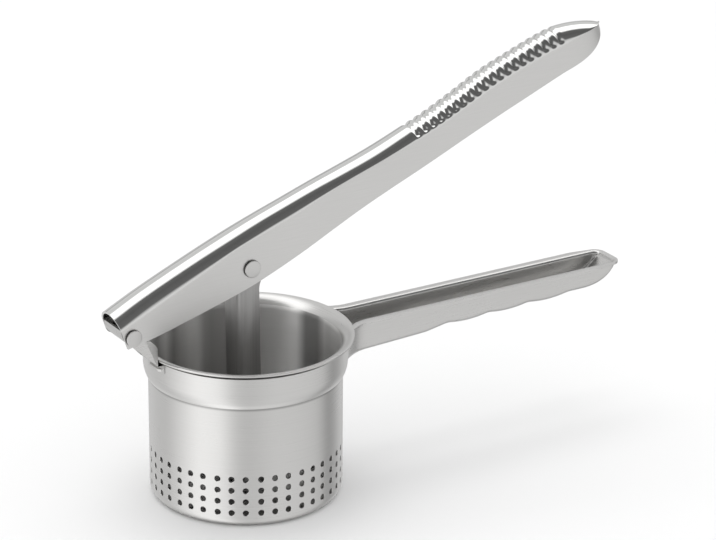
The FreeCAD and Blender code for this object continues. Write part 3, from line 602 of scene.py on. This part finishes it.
def underside(x):
    # the keel line: a straight root, finger waves and the sweep up to the tip
    crestEnd = trough["fingerX"] + trough["fingers"] * trough["fingerPitch"]
    if x < trough["neckX"]:
        share = (x - trough["rootX"]) / (trough["neckX"] - trough["rootX"])
        return trough["rootZ"] + (trough["neckZ"] - trough["rootZ"]) * share
    if x < trough["fingerX"]:
        share = (x - trough["neckX"]) / (trough["fingerX"] - trough["neckX"])
        return trough["neckZ"] + (trough["fingerZ"] - trough["neckZ"]) * share
    lift = (x - trough["fingerX"]) / trough["fingerPitch"] * trough["fingerRise"]
    if x < crestEnd:
        share = (x - trough["fingerX"]) / trough["fingerPitch"] % 1.0
        return trough["fingerZ"] + lift - trough["fingerDepth"] * 4.0 * share * (1.0 - share)
    level = trough["fingerZ"] + trough["fingers"] * trough["fingerRise"]
    if x < trough["sweepFrom"]:
        return level
    rise = trough["top"] - 1.5 * trough["sheet"] - level
    run = trough["tip"] - trough["sweepFrom"]
    share = (x - trough["sweepFrom"]) / run
    return level + rise * (trough["sweepSoft"] * share + (1.0 - trough["sweepSoft"]) * share**3)


def keel(x):
    # the keel line with its corners eased, but for its end at the tip
    steps = trough["easeSteps"]
    weights = [math.cos(math.pi * (k / steps - 0.5)) for k in range(steps + 1)]
    near = [underside(min(x + trough["ease"] * (2.0 * k / steps - 1.0), trough["tip"]))
            for k in range(steps + 1)]
    average = sum(w * z for w, z in zip(weights, near)) / sum(weights)
    share = min(max((trough["tip"] - x) / trough["easeEnd"], 0.0), 1.0)
    return average * share + underside(x) * (1.0 - share)


def troughMouth(root):
    # half of the mouth, from the ring to the middle of the tip:
    # place on the wall, outward direction, flange width and where the wall meets the keel
    mouth = []
    corner = trough["tipCorner"]
    straight = trough["tip"] - corner
    nudge = 0.05
    for k in range(trough["rows"] + 1):
        x = root + (straight - root) * k / trough["rows"]
        fade = min(max((x - trough["fadeFrom"]) / (straight - trough["fadeFrom"]), 0.0), 1.0)
        wide = trough["flange"] + (trough["flangeTip"] - trough["flange"]) * fade
        slope = (troughHalf(x + nudge) - troughHalf(x - nudge)) / (2.0 * nudge)
        mouth.append((x, troughHalf(x), Vector((-slope, 1.0)).normalized(), wide, min(x, trough["pole"])))
    centre = Vector((straight, trough["half"] - corner))
    for k in range(1, trough["cornerRows"] + 1):
        angle = math.radians(90.0 * (1.0 - k / trough["cornerRows"]))
        out = Vector((math.cos(angle), math.sin(angle)))
        spot = centre + out * corner
        mouth.append((spot.x, spot.y, out, trough["flangeTip"], trough["pole"]))
    for k in range(1, trough["endRows"] + 1):
        y = (trough["half"] - corner) * (1.0 - k / trough["endRows"])
        mouth.append((trough["tip"], y, Vector((1.0, 0.0)), trough["flangeTip"], trough["pole"]))
    return mouth


def troughRow(x, y, out, wide, keelX):
    # from the flange's edge over the mouth's bend, down the wall and along to the keel
    top = trough["top"] - trough["sheet"]
    bend = trough["mouthBend"]
    row = [(x + out.x * wide, y + out.y * wide, top), (x + out.x * wide * 0.5, y + out.y * wide * 0.5, top)]
    for step in range(trough["mouthSteps"] + 1):
        angle = math.radians(90.0 * step / trough["mouthSteps"])
        away = bend * (1.0 - math.sin(angle))
        row.append((x + out.x * away, y + out.y * away, top - bend * (1.0 - math.cos(angle))))
    start = Vector((x, y))
    end = Vector((keelX, 0.0))
    length = (end - start).length
    edge = min(trough["edge"], max(trough["edgeLeast"], top - bend - keel(x) - trough["edgeClear"]))
    edgeSteps, wallSteps = trough["edgeSteps"], trough["wallSteps"]
    for step in range(wallSteps + 1):
        if step <= edgeSteps:
            away = edge * (1.0 - math.cos(math.radians(90.0 * step / edgeSteps)))
        else:
            away = edge + (length - edge) * (step - edgeSteps) / (wallSteps - edgeSteps)
        away = min(away, length)
        spot = start + (end - start) * (away / max(length, 1e-6))
        rise = edge - math.sqrt(max(edge**2 - (edge - min(away, edge))**2, 0.0))
        row.append((spot.x, spot.y, min(keel(spot.x) + rise, top - bend)))
    return row


def makeTrough():
    ring = collar["radius"] + trough["weld"]
    root = math.sqrt(ring**2 - trough["flareHalf"]**2)
    mouth = troughMouth(root)
    points = []
    for place in mouth:
        row = troughRow(*place)
        # the root follows the ring
        near = (place[0] - root) / (trough["flareX"] - root)
        if near < 1.0:
            row = [(x + (math.sqrt(ring**2 - min(y, ring)**2) - root) * (1.0 - near), y, z)
                   for x, y, z in row]
        points += row
    rows = len(mouth)
    columns = len(points) // rows
    faces = gridFaces(rows, columns)
    mirrored = [(x, -y, z) for x, y, z in points]
    base = len(points)
    faces += [tuple(base + v for v in reversed(face)) for face in faces]
    piece = meshPiece("troughHandle", points + mirrored, faces, handleSteel)
    tidyMesh(piece, gap=0.01)
    thick = piece.modifiers.new("sheet", "SOLIDIFY")
    thick.thickness = trough["sheet"] * mm
    thick.offset = 1.0
    thick.use_even_offset = True
    bakeModifiers(piece)
    tidyMesh(piece, gap=0.001)
    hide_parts("lower_handle")
    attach(piece, "press_frame")


makeTrough()
print("handle made")


# lever: a channel open below and at the hinge, with a polished crown that carries finger ribs

lever = {
    # the crease's ease is no more than this share of the half width or of the crown's rise
    "angle": 18.46, "sheet": 1.0, "crease": 0.7, "creaseShare": 0.3, "heelLift": 3.6, "heelEnd": 2.0,
    # along the pin line: lower edge, crease, crown, width
    "stations": [
        (-3.9, -3.6, 5.6, 11.7, 17.6), (12.0, -5.4, 7.3, 13.8, 17.3), (37.0, -6.8, 9.9, 15.9, 16.8),
        (57.0, -7.5, 11.9, 17.1, 16.3), (72.0, -6.9, 12.0, 17.6, 15.8), (87.0, -5.65, 12.2, 17.7, 15.4),
        (103.0, -3.75, 13.0, 17.8, 14.9), (118.0, -2.05, 13.4, 17.6, 14.6), (134.0, -0.7, 13.4, 17.6, 14.6),
        (149.0, 0.3, 13.6, 18.4, 14.6), (165.0, 1.6, 14.3, 19.7, 14.6), (180.0, 2.9, 15.9, 21.7, 14.6),
        (196.0, 4.1, 17.9, 24.2, 14.6), (212.0, 5.1, 18.8, 25.1, 14.6), (226.0, 6.0, 18.9, 25.5, 14.6),
        (232.0, 6.3, 18.7, 25.4, 14.5),
    ],
    # nose: how each line closes on the tip, as a power and its bluntness, and the width's share left there
    "noseFrom": 232.0, "tip": 258.2, "tipHeight": 16.3, "noseLow": (2.9, 0.5), "noseCrease": (2.0, 0.8),
    "noseCrown": (1.6, 0.9), "noseWidth": (3.0, 0.5), "noseEnd": 0.02,
    # finger ribs: the ramp says how soon above the crease they reach their depth
    "ribFirst": 154.7, "ribPitch": 4.2, "ribs": 20, "ribDepth": 0.8, "ribPower": 1.3, "ribRamp": 7.0,
    # rows along the plain run, a rib and the nose; points up a side, round a crease and over half the crown
    "plainRows": 60, "ribRows": 12, "noseRows": 40, "sideSteps": 6, "creaseSteps": 4, "archSteps": 24,
    "sharp": 50.0,
}


def leverSection(s):
    if s <= lever["noseFrom"]:
        return smoothLine(lever["stations"], s)
    low, crease, crown, width = lever["stations"][-1][1:]
    share = (s - lever["noseFrom"]) / (lever["tip"] - lever["noseFrom"])
    height = lever["tipHeight"]

    def closing(power, blunt):
        return max(1.0 - share**power, 0.0)**blunt

    return [height - (height - low) * closing(*lever["noseLow"]),
            height + (crease - height) * closing(*lever["noseCrease"]),
            height + (crown - height) * closing(*lever["noseCrown"]),
            width * max(closing(*lever["noseWidth"]), lever["noseEnd"])]


def ribTree(values):
    # presses a row of valleys into what lies above the crease, and gives both their finish
    tree = bpy.data.node_groups.new("finger ribs", "GeometryNodeTree")
    tree.interface.new_socket("Geometry", in_out="INPUT", socket_type="NodeSocketGeometry")
    for name, value in {"First": values["ribFirst"] * mm, "Pitch": values["ribPitch"] * mm,
                        "Count": float(values["ribs"]), "Depth": values["ribDepth"] * mm,
                        "Sharpness": values["ribPower"]}.items():
        socket = tree.interface.new_socket(name, in_out="INPUT", socket_type="NodeSocketFloat")
        socket.default_value = value
    tree.interface.new_socket("Geometry", in_out="OUTPUT", socket_type="NodeSocketGeometry")
    given = addNode(tree, "NodeGroupInput").outputs
    place = addNode(tree, "ShaderNodeSeparateXYZ", {0: addNode(tree, "GeometryNodeInputPosition").outputs[0]})
    turns = calc(tree, "DIVIDE", calc(tree, "SUBTRACT", place.outputs["X"], given["First"]), given["Pitch"])
    wave = calc(tree, "MULTIPLY_ADD", calc(tree, "COSINE", calc(tree, "MULTIPLY", turns, fullTurn)), 0.5, 0.5)
    valley = calc(tree, "POWER", wave, given["Sharpness"])
    inside = calc(tree, "MULTIPLY", calc(tree, "GREATER_THAN", turns, -0.5),
                  calc(tree, "LESS_THAN", turns, calc(tree, "SUBTRACT", given["Count"], 0.5)))
    weight = addNode(tree, "GeometryNodeInputNamedAttribute", {"Name": "crownShare"},
                     data_type="FLOAT").outputs[0]
    deepest = calc(tree, "MULTIPLY", weight, given["Depth"])
    press = calc(tree, "MULTIPLY", calc(tree, "MULTIPLY", valley, inside), deepest)
    normal = addNode(tree, "GeometryNodeInputNormal").outputs[0]
    scaled = addNode(tree, "ShaderNodeVectorMath", {0: normal, "Scale": calc(tree, "MULTIPLY", press, -1.0)},
                     operation="SCALE").outputs[0]
    moved = addNode(tree, "GeometryNodeSetPosition", {"Geometry": given["Geometry"], "Offset": scaled})
    solid = addNode(tree, "GeometryNodeRealizeInstances", {0: moved.outputs[0]})
    satin = addNode(tree, "GeometryNodeSetMaterial", {"Geometry": solid.outputs[0], "Material": leverSteel})
    onCrown = addNode(tree, "GeometryNodeInputNamedAttribute", {"Name": "crownFace"},
                      data_type="BOOLEAN").outputs[0]
    polished = addNode(tree, "GeometryNodeSetMaterial", {"Geometry": satin.outputs[0], "Selection": onCrown,
                                                         "Material": crownSteel})
    addNode(tree, "NodeGroupOutput", {0: polished.outputs[0]})
    return tree


def leverRow(s):
    # a cross-section from one lower edge over the crown to the other, and each point's share of a rib
    low, crease, crown, width = leverSection(s)
    half = width / 2.0
    rise = max(crown - crease, 0.01)
    arch = (half**2 + rise**2) / (2.0 * rise)
    ease = min(lever["crease"], lever["creaseShare"] * half, lever["creaseShare"] * rise)
    span = math.asin(min(half / arch, 1.0)) - ease / arch
    sideSteps, creaseSteps, archSteps = lever["sideSteps"], lever["creaseSteps"], lever["archSteps"]

    def onArch(angle):
        return arch * math.sin(angle), crown - arch + arch * math.cos(angle)

    side = [(half, low + (crease - ease - low) * k / sideSteps) for k in range(sideSteps)]
    below, corner, above = Vector((half, crease - ease)), Vector((half, crease)), Vector(onArch(span))
    over = []
    for k in range(creaseSteps + 1):
        t = k / creaseSteps
        over.append(tuple(below * (1 - t)**2 + corner * 2 * t * (1 - t) + above * t**2))
    over += [onArch(span * (1.0 - k / archSteps)) for k in range(1, archSteps)] + [(0.0, crown)]
    share = [0.0] * (sideSteps + creaseSteps + 1)
    share += [min(1.0, k / archSteps * lever["ribRamp"]) for k in range(1, archSteps)] + [1.0]
    # the far wall's heel is cut back above the hinge
    start = lever["stations"][0][0]
    heel = lever["heelLift"] * min(max((lever["heelEnd"] - s) / (lever["heelEnd"] - start), 0.0), 1.0)
    cutBack = [(y, h + heel * (1.0 - k / sideSteps)) for k, (y, h) in enumerate(side)]
    line = cutBack + over + [(-y, h) for y, h in reversed(side + over[:-1])]
    return line, share + share[-2::-1]


def makeLever():
    start = lever["stations"][0][0]
    ribStart = lever["ribFirst"] - lever["ribPitch"]
    ribEnd = lever["ribFirst"] + lever["ribPitch"] * lever["ribs"]
    plainRows, noseRows = lever["plainRows"], lever["noseRows"]
    ribRows = lever["ribRows"] * (lever["ribs"] + 1)
    places = [start + (ribStart - start) * k / plainRows for k in range(plainRows)]
    places += [ribStart + (ribEnd - ribStart) * k / ribRows for k in range(ribRows)]
    places += [ribEnd + (lever["tip"] - ribEnd) * math.sin(math.pi / 2.0 * k / noseRows)
               for k in range(noseRows + 1)]
    points, shares = [], []
    for s in places:
        line, share = leverRow(s)
        points += [(s, y, h) for y, h in line]
        shares += share
    rows = len(places)
    columns = len(points) // rows
    faces = gridFaces(rows, columns)
    piece = meshPiece("leverChannel", points, faces, leverSteel)
    piece.data.materials.append(crownSteel)
    # the crown's polish begins in the middle of the crease
    first = lever["sideSteps"] + lever["creaseSteps"] // 2
    across = columns - 1
    onCrown = [first <= index % across < across - first for index in range(len(piece.data.polygons))]
    piece.data.attributes.new("crownFace", "BOOLEAN", "FACE").data.foreach_set("value", onCrown)
    piece.data.attributes.new("crownShare", "FLOAT", "POINT").data.foreach_set("value", shares)
    ribs = piece.modifiers.new("finger ribs", "NODES")
    ribs.node_group = ribTree(lever)
    thick = piece.modifiers.new("sheet", "SOLIDIFY")
    thick.thickness = lever["sheet"] * mm
    thick.offset = -1.0
    bakeModifiers(piece)
    piece.data.transform(Matrix.Translation(hingePlace)
                         @ Matrix.Rotation(math.radians(-lever["angle"]), 4, "Y"))
    shade(piece.data, lever["sharp"])
    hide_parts("lever")
    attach(piece, "top_lever")


makeLever()
print("lever made")


# rivets, each with two flat heads

pins = {
    "hinge_pin": {"name": "hingeRivet", "body": "press_frame", "at": hingePlace,
                  "shank": 2.0, "head": 3.6, "grip": 17.6},
    "plunger_pin": {"name": "plungerRivet", "body": "top_lever", "at": knucklePlace,
                    "shank": 2.2, "head": 3.85, "grip": 16.2},
}
pinHead = {
    "gap": 0.15, "height": 1.0, "edge": 0.3, "edgeSteps": 4, "segments": 64,
    # a face belongs to a head's side within this depth, and when its normal leans no more than this
    "skin": 0.05, "steep": 0.5,
}


def makePins():
    for node, pin in pins.items():
        inside = pin["grip"] / 2.0 + pinHead["gap"]
        outside = inside + pinHead["height"]
        side = rounded([(pin["shank"], 0.0, 0), (pin["shank"], inside, 0), (pin["head"], inside, 0),
                        (pin["head"], outside, pinHead["edge"]), (0.0, outside, 0)], pinHead["edgeSteps"])
        line = [Vector((point.x, -point.y)) for point in reversed(side)] + side[1:]
        piece = lathe(pin["name"], line, pinSteel, pinHead["segments"], closed=False, along="Y")
        tidyMesh(piece)
        piece.data.materials.append(paintedRivetShadow)
        # the heads' sides and all that lies under them take the dark material, a painted shadow of the gap
        # round each head
        for face in piece.data.polygons:
            reach = math.hypot(face.center.x, face.center.z) / mm
            onSide = reach > pin["head"] - pinHead["skin"] and abs(face.normal.y) < pinHead["steep"]
            depth = outside - abs(face.center.y) / mm
            underneath = reach < pin["head"] and depth > 0.5 * pinHead["height"]
            if onSide or underneath:
                face.material_index = 1
        piece.data.transform(Matrix.Translation(pin["at"]))
        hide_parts(node)
        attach(piece, pin["body"])


makePins()
print("rivets made")


# bracket and stem keep their solid's form, with every edge eased

eased = {
    "hinge_bracket": {"name": "hingeStrap", "body": "press_frame", "slot": "frame_steel",
                      "finish": handleSteel, "edge": 0.22, "webBehind": 3.8, "webAbove": 4.2, "webDrop": 0.9,
                      "footTop": 68.5, "footHalf": 4.9, "footReach": 44.2},
    "plunger_stem": {"name": "plungerStem", "body": "plunger", "slot": "plunger_steel",
                     "finish": stemSteel, "edge": 0.22},
}
easing = {"flatDegrees": 1.0, "steps": 3, "sharpDegrees": 40.0}


def makeEased():
    for node, part in eased.items():
        mesh = frame["nodes"][node].data.copy()
        piece = bpy.data.objects.new(part["name"], mesh)
        bpy.context.scene.collection.objects.link(piece)
        mesh.materials.clear()
        mesh.materials.append(part["finish"])
        work = bmesh.new()
        work.from_mesh(mesh)
        bmesh.ops.remove_doubles(work, verts=work.verts, dist=0.002 * mm)
        bmesh.ops.dissolve_limit(work, angle_limit=math.radians(easing["flatDegrees"]),
                                 verts=work.verts, edges=work.edges)
        if "webDrop" in part:
            # the web's top edge stays clear of the opened lever's crown,
            # and the foot's corners are drawn in to the collar's face
            for vertex in work.verts:
                off = (vertex.co - hingePlace) / mm
                if off.x < -part["webBehind"] and off.z > part["webAbove"]:
                    vertex.co.z -= part["webDrop"] * mm
                if vertex.co.z < part["footTop"] * mm and abs(vertex.co.y) > part["footHalf"] * mm:
                    vertex.co.xy *= part["footReach"] * mm / vertex.co.xy.length
        work.to_mesh(mesh)
        work.free()
        bevel = piece.modifiers.new("edges", "BEVEL")
        bevel.width = part["edge"] * mm
        bevel.segments = easing["steps"]
        bevel.limit_method = "ANGLE"
        bevel.angle_limit = math.radians(easing["sharpDegrees"])
        bevel.use_clamp_overlap = True
        bakeModifiers(piece)
        tidyMesh(piece, sharp=easing["sharpDegrees"])
        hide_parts(node)
        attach(piece, part["body"])


makeEased()
print("bracket and stem made")


# plunger disc, a pressed plate with its rim turned up

disc = {
    "radius": 38.8, "sheet": 1.5, "rim": 6.0, "bend": 3.0, "edge": 0.3, "bendSteps": 6, "segments": 192,
    # under the plunger pin, and leaning as the stem does
    "drop": 79.0, "shift": 1.0, "tilt": 0.85,
}


def makeDisc():
    inner = disc["radius"] - disc["sheet"]
    line = rounded([
        (0.0, 0.0, 0), (disc["radius"], 0.0, disc["bend"]), (disc["radius"], disc["rim"], disc["edge"]),
        (inner, disc["rim"], disc["edge"]), (inner, disc["sheet"], disc["bend"] - disc["sheet"]),
        (0.0, disc["sheet"], 0)], disc["bendSteps"])
    piece = lathe("plungerPlate", line, stemSteel, disc["segments"], closed=False)
    tilt = Matrix.Rotation(math.radians(-disc["tilt"]), 4, "Y")
    foot = tilt @ Vector((disc["shift"] * mm, 0.0, -disc["drop"] * mm))
    piece.data.transform(Matrix.Translation(knucklePlace + foot) @ tilt)
    tidyMesh(piece)
    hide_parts("plunger_disc")
    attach(piece, "plunger")


makeDisc()
print("plunger plate made")


# studio

studio = {
    "cameraAt": (-0.6632, -1.1519, 0.6314), "heading": (0.530, 0.848), "pitch": 21.73, "roll": 0.44,
    "lens": 168.8, "floorSize": 6.0, "floorGrey": 0.9, "floorRough": 0.8, "sky": 0.97,
    "boxAt": (0.1, 0.3, 1.6), "boxAim": (0.05, 0.0, 0.05), "boxSize": (1.2, 1.2), "boxPower": 6.0,
    # what the steel sees of the room: (share of the turn, grey), the turn counted from the camera's back
    # round by the left and behind the object, and over the object from the near side to the far one,
    # with the heights between which the second takes over from the first
    "around": [(0.0, 0.75), (0.03, 0.6), (0.06, 0.77), (0.1, 0.8), (0.21, 0.76), (0.28, 1.1), (0.345, 1.46),
               (0.42, 1.38), (0.475, 0.85), (0.51, 0.78), (0.6, 0.92), (0.66, 0.91), (0.72, 0.87),
               (0.775, 0.8), (0.82, 0.36), (0.86, 0.52), (0.9, 0.74), (0.93, 0.8), (0.97, 0.6), (1.0, 0.75)],
    "over": [(0.0, 0.8), (0.1, 0.6), (0.15, 0.16), (0.31, 0.13), (0.43, 0.17), (0.475, 1.5), (0.55, 1.9),
             (0.62, 1.9), (0.68, 1.5), (0.7, 0.78), (0.87, 0.85), (0.9, 0.28), (0.93, 0.25), (0.95, 0.8),
             (1.0, 0.8)],
    "overFrom": 0.05, "overTo": 0.45,
}


def makeCamera():
    data = bpy.data.cameras.new("camera")
    data.lens = studio["lens"]
    data.sensor_width = 36.0
    data.clip_start = 0.05
    data.clip_end = 30.0
    camera = bpy.data.objects.new("camera", data)
    bpy.context.scene.collection.objects.link(camera)
    heading = Vector(studio["heading"]).normalized()
    pitch = math.radians(studio["pitch"])
    look = Vector((heading.x * math.cos(pitch), heading.y * math.cos(pitch), -math.sin(pitch)))
    turn = look.to_track_quat("-Z", "Y").to_matrix().to_4x4()
    camera.matrix_world = (Matrix.Translation(Vector(studio["cameraAt"])) @ turn
                           @ Matrix.Rotation(math.radians(studio["roll"]), 4, "Z"))
    bpy.context.scene.camera = camera


def roomGroup():
    # the grey that a reflection meets in one direction
    tree = bpy.data.node_groups.new("room in the steel", "ShaderNodeTree")
    tree.interface.new_socket("Direction", in_out="INPUT", socket_type="NodeSocketVector")
    tree.interface.new_socket("Color", in_out="OUTPUT", socket_type="NodeSocketColor")
    way = addNode(tree, "NodeGroupInput").outputs[0]
    ahead = Vector(studio["heading"]).normalized()

    def along(axis):
        dot = addNode(tree, "ShaderNodeVectorMath", {0: way, 1: axis}, operation="DOT_PRODUCT")
        return dot.outputs["Value"]

    towards = along((-ahead.x, -ahead.y, 0.0))
    right = along((ahead.y, -ahead.x, 0.0))
    near = along((0.0, -1.0, 0.0))
    up = along((0.0, 0.0, 1.0))
    turned = calc(tree, "DIVIDE", calc(tree, "ARCTAN2", right, towards), fullTurn)
    around = greyRamp(tree, calc(tree, "ADD", turned, 0.5), studio["around"])
    over = greyRamp(tree, calc(tree, "DIVIDE", calc(tree, "ARCTAN2", up, near), math.pi), studio["over"])
    height = addNode(tree, "ShaderNodeMapRange", {"Value": up, "From Min": studio["overFrom"],
                                                  "From Max": studio["overTo"]},
                     interpolation_type="SMOOTHSTEP").outputs[0]
    both = addNode(tree, "ShaderNodeMix", {0: height, 6: around, 7: over}, data_type="RGBA")
    addNode(tree, "NodeGroupOutput", {0: both.outputs[2]})
    return tree


def makeFloor(room):
    half = studio["floorSize"] / 2.0
    corners = [(-half, -half, 0), (half, -half, 0), (half, half, 0), (-half, half, 0)]
    mesh = bpy.data.meshes.new("floor")
    mesh.from_pydata(corners, [], [(0, 1, 2, 3)])
    floor = bpy.data.objects.new("floor", mesh)
    bpy.context.scene.collection.objects.link(floor)
    material = bpy.data.materials.new("white floor")
    material.use_nodes = True
    tree = material.node_tree
    shader = tree.nodes["Principled BSDF"]
    shader.inputs["Base Color"].default_value = (studio["floorGrey"],) * 3 + (1.0,)
    shader.inputs["Roughness"].default_value = studio["floorRough"]
    # the steel sees the room's tones on the floor, everything else sees the white floor itself
    arriving = addNode(tree, "ShaderNodeNewGeometry").outputs["Incoming"]
    way = addNode(tree, "ShaderNodeVectorMath", {0: arriving, "Scale": -1.0}, operation="SCALE").outputs[0]
    tone = addNode(tree, "ShaderNodeGroup", {0: way}, node_tree=room).outputs[0]
    glow = addNode(tree, "ShaderNodeEmission", {"Color": tone, "Strength": 1.0}).outputs[0]
    mirrored = addNode(tree, "ShaderNodeLightPath").outputs["Is Glossy Ray"]
    # under the cup it stays in the shade
    spot = addNode(tree, "ShaderNodeTexCoord").outputs["Object"]
    reach = addNode(tree, "ShaderNodeVectorMath", {0: spot}, operation="LENGTH").outputs["Value"]
    outside = calc(tree, "GREATER_THAN", reach, cup["radius"] * mm)
    share = calc(tree, "MULTIPLY", mirrored, outside)
    mixed = addNode(tree, "ShaderNodeMixShader", {0: share, 1: shader.outputs[0], 2: glow})
    tree.links.new(mixed.outputs[0], tree.nodes["Material Output"].inputs[0])
    mesh.materials.append(material)


def areaLight(name, place, aim, size, power):
    data = bpy.data.lights.new(name, "AREA")
    data.shape = "RECTANGLE"
    data.size, data.size_y = size
    data.energy = power
    lamp = bpy.data.objects.new(name, data)
    bpy.context.scene.collection.objects.link(lamp)
    turn = (Vector(aim) - Vector(place)).to_track_quat("-Z", "Y")
    lamp.matrix_world = Matrix.Translation(Vector(place)) @ turn.to_matrix().to_4x4()
    return lamp


def makeWorld(room):
    world = bpy.data.worlds.new("white studio")
    bpy.context.scene.world = world
    world.use_nodes = True
    tree = world.node_tree
    background = tree.nodes["Background"]
    background.inputs["Color"].default_value = (1.0, 1.0, 1.0, 1.0)
    background.inputs["Strength"].default_value = studio["sky"]
    way = addNode(tree, "ShaderNodeTexCoord").outputs["Generated"]
    tone = addNode(tree, "ShaderNodeGroup", {0: way}, node_tree=room).outputs[0]
    seen = addNode(tree, "ShaderNodeBackground", {"Color": tone, "Strength": 1.0}).outputs[0]
    mirrored = addNode(tree, "ShaderNodeLightPath").outputs["Is Glossy Ray"]
    mixed = addNode(tree, "ShaderNodeMixShader", {0: mirrored, 1: background.outputs[0], 2: seen})
    tree.links.new(mixed.outputs[0], tree.nodes["World Output"].inputs[0])


room = roomGroup()
makeCamera()
makeFloor(room)
makeWorld(room)
softbox = areaLight("overhead softbox", studio["boxAt"], studio["boxAim"], studio["boxSize"],
                    studio["boxPower"])
softbox.visible_glossy = False
bpy.context.scene.view_settings.view_transform = "Standard"
print("studio made")
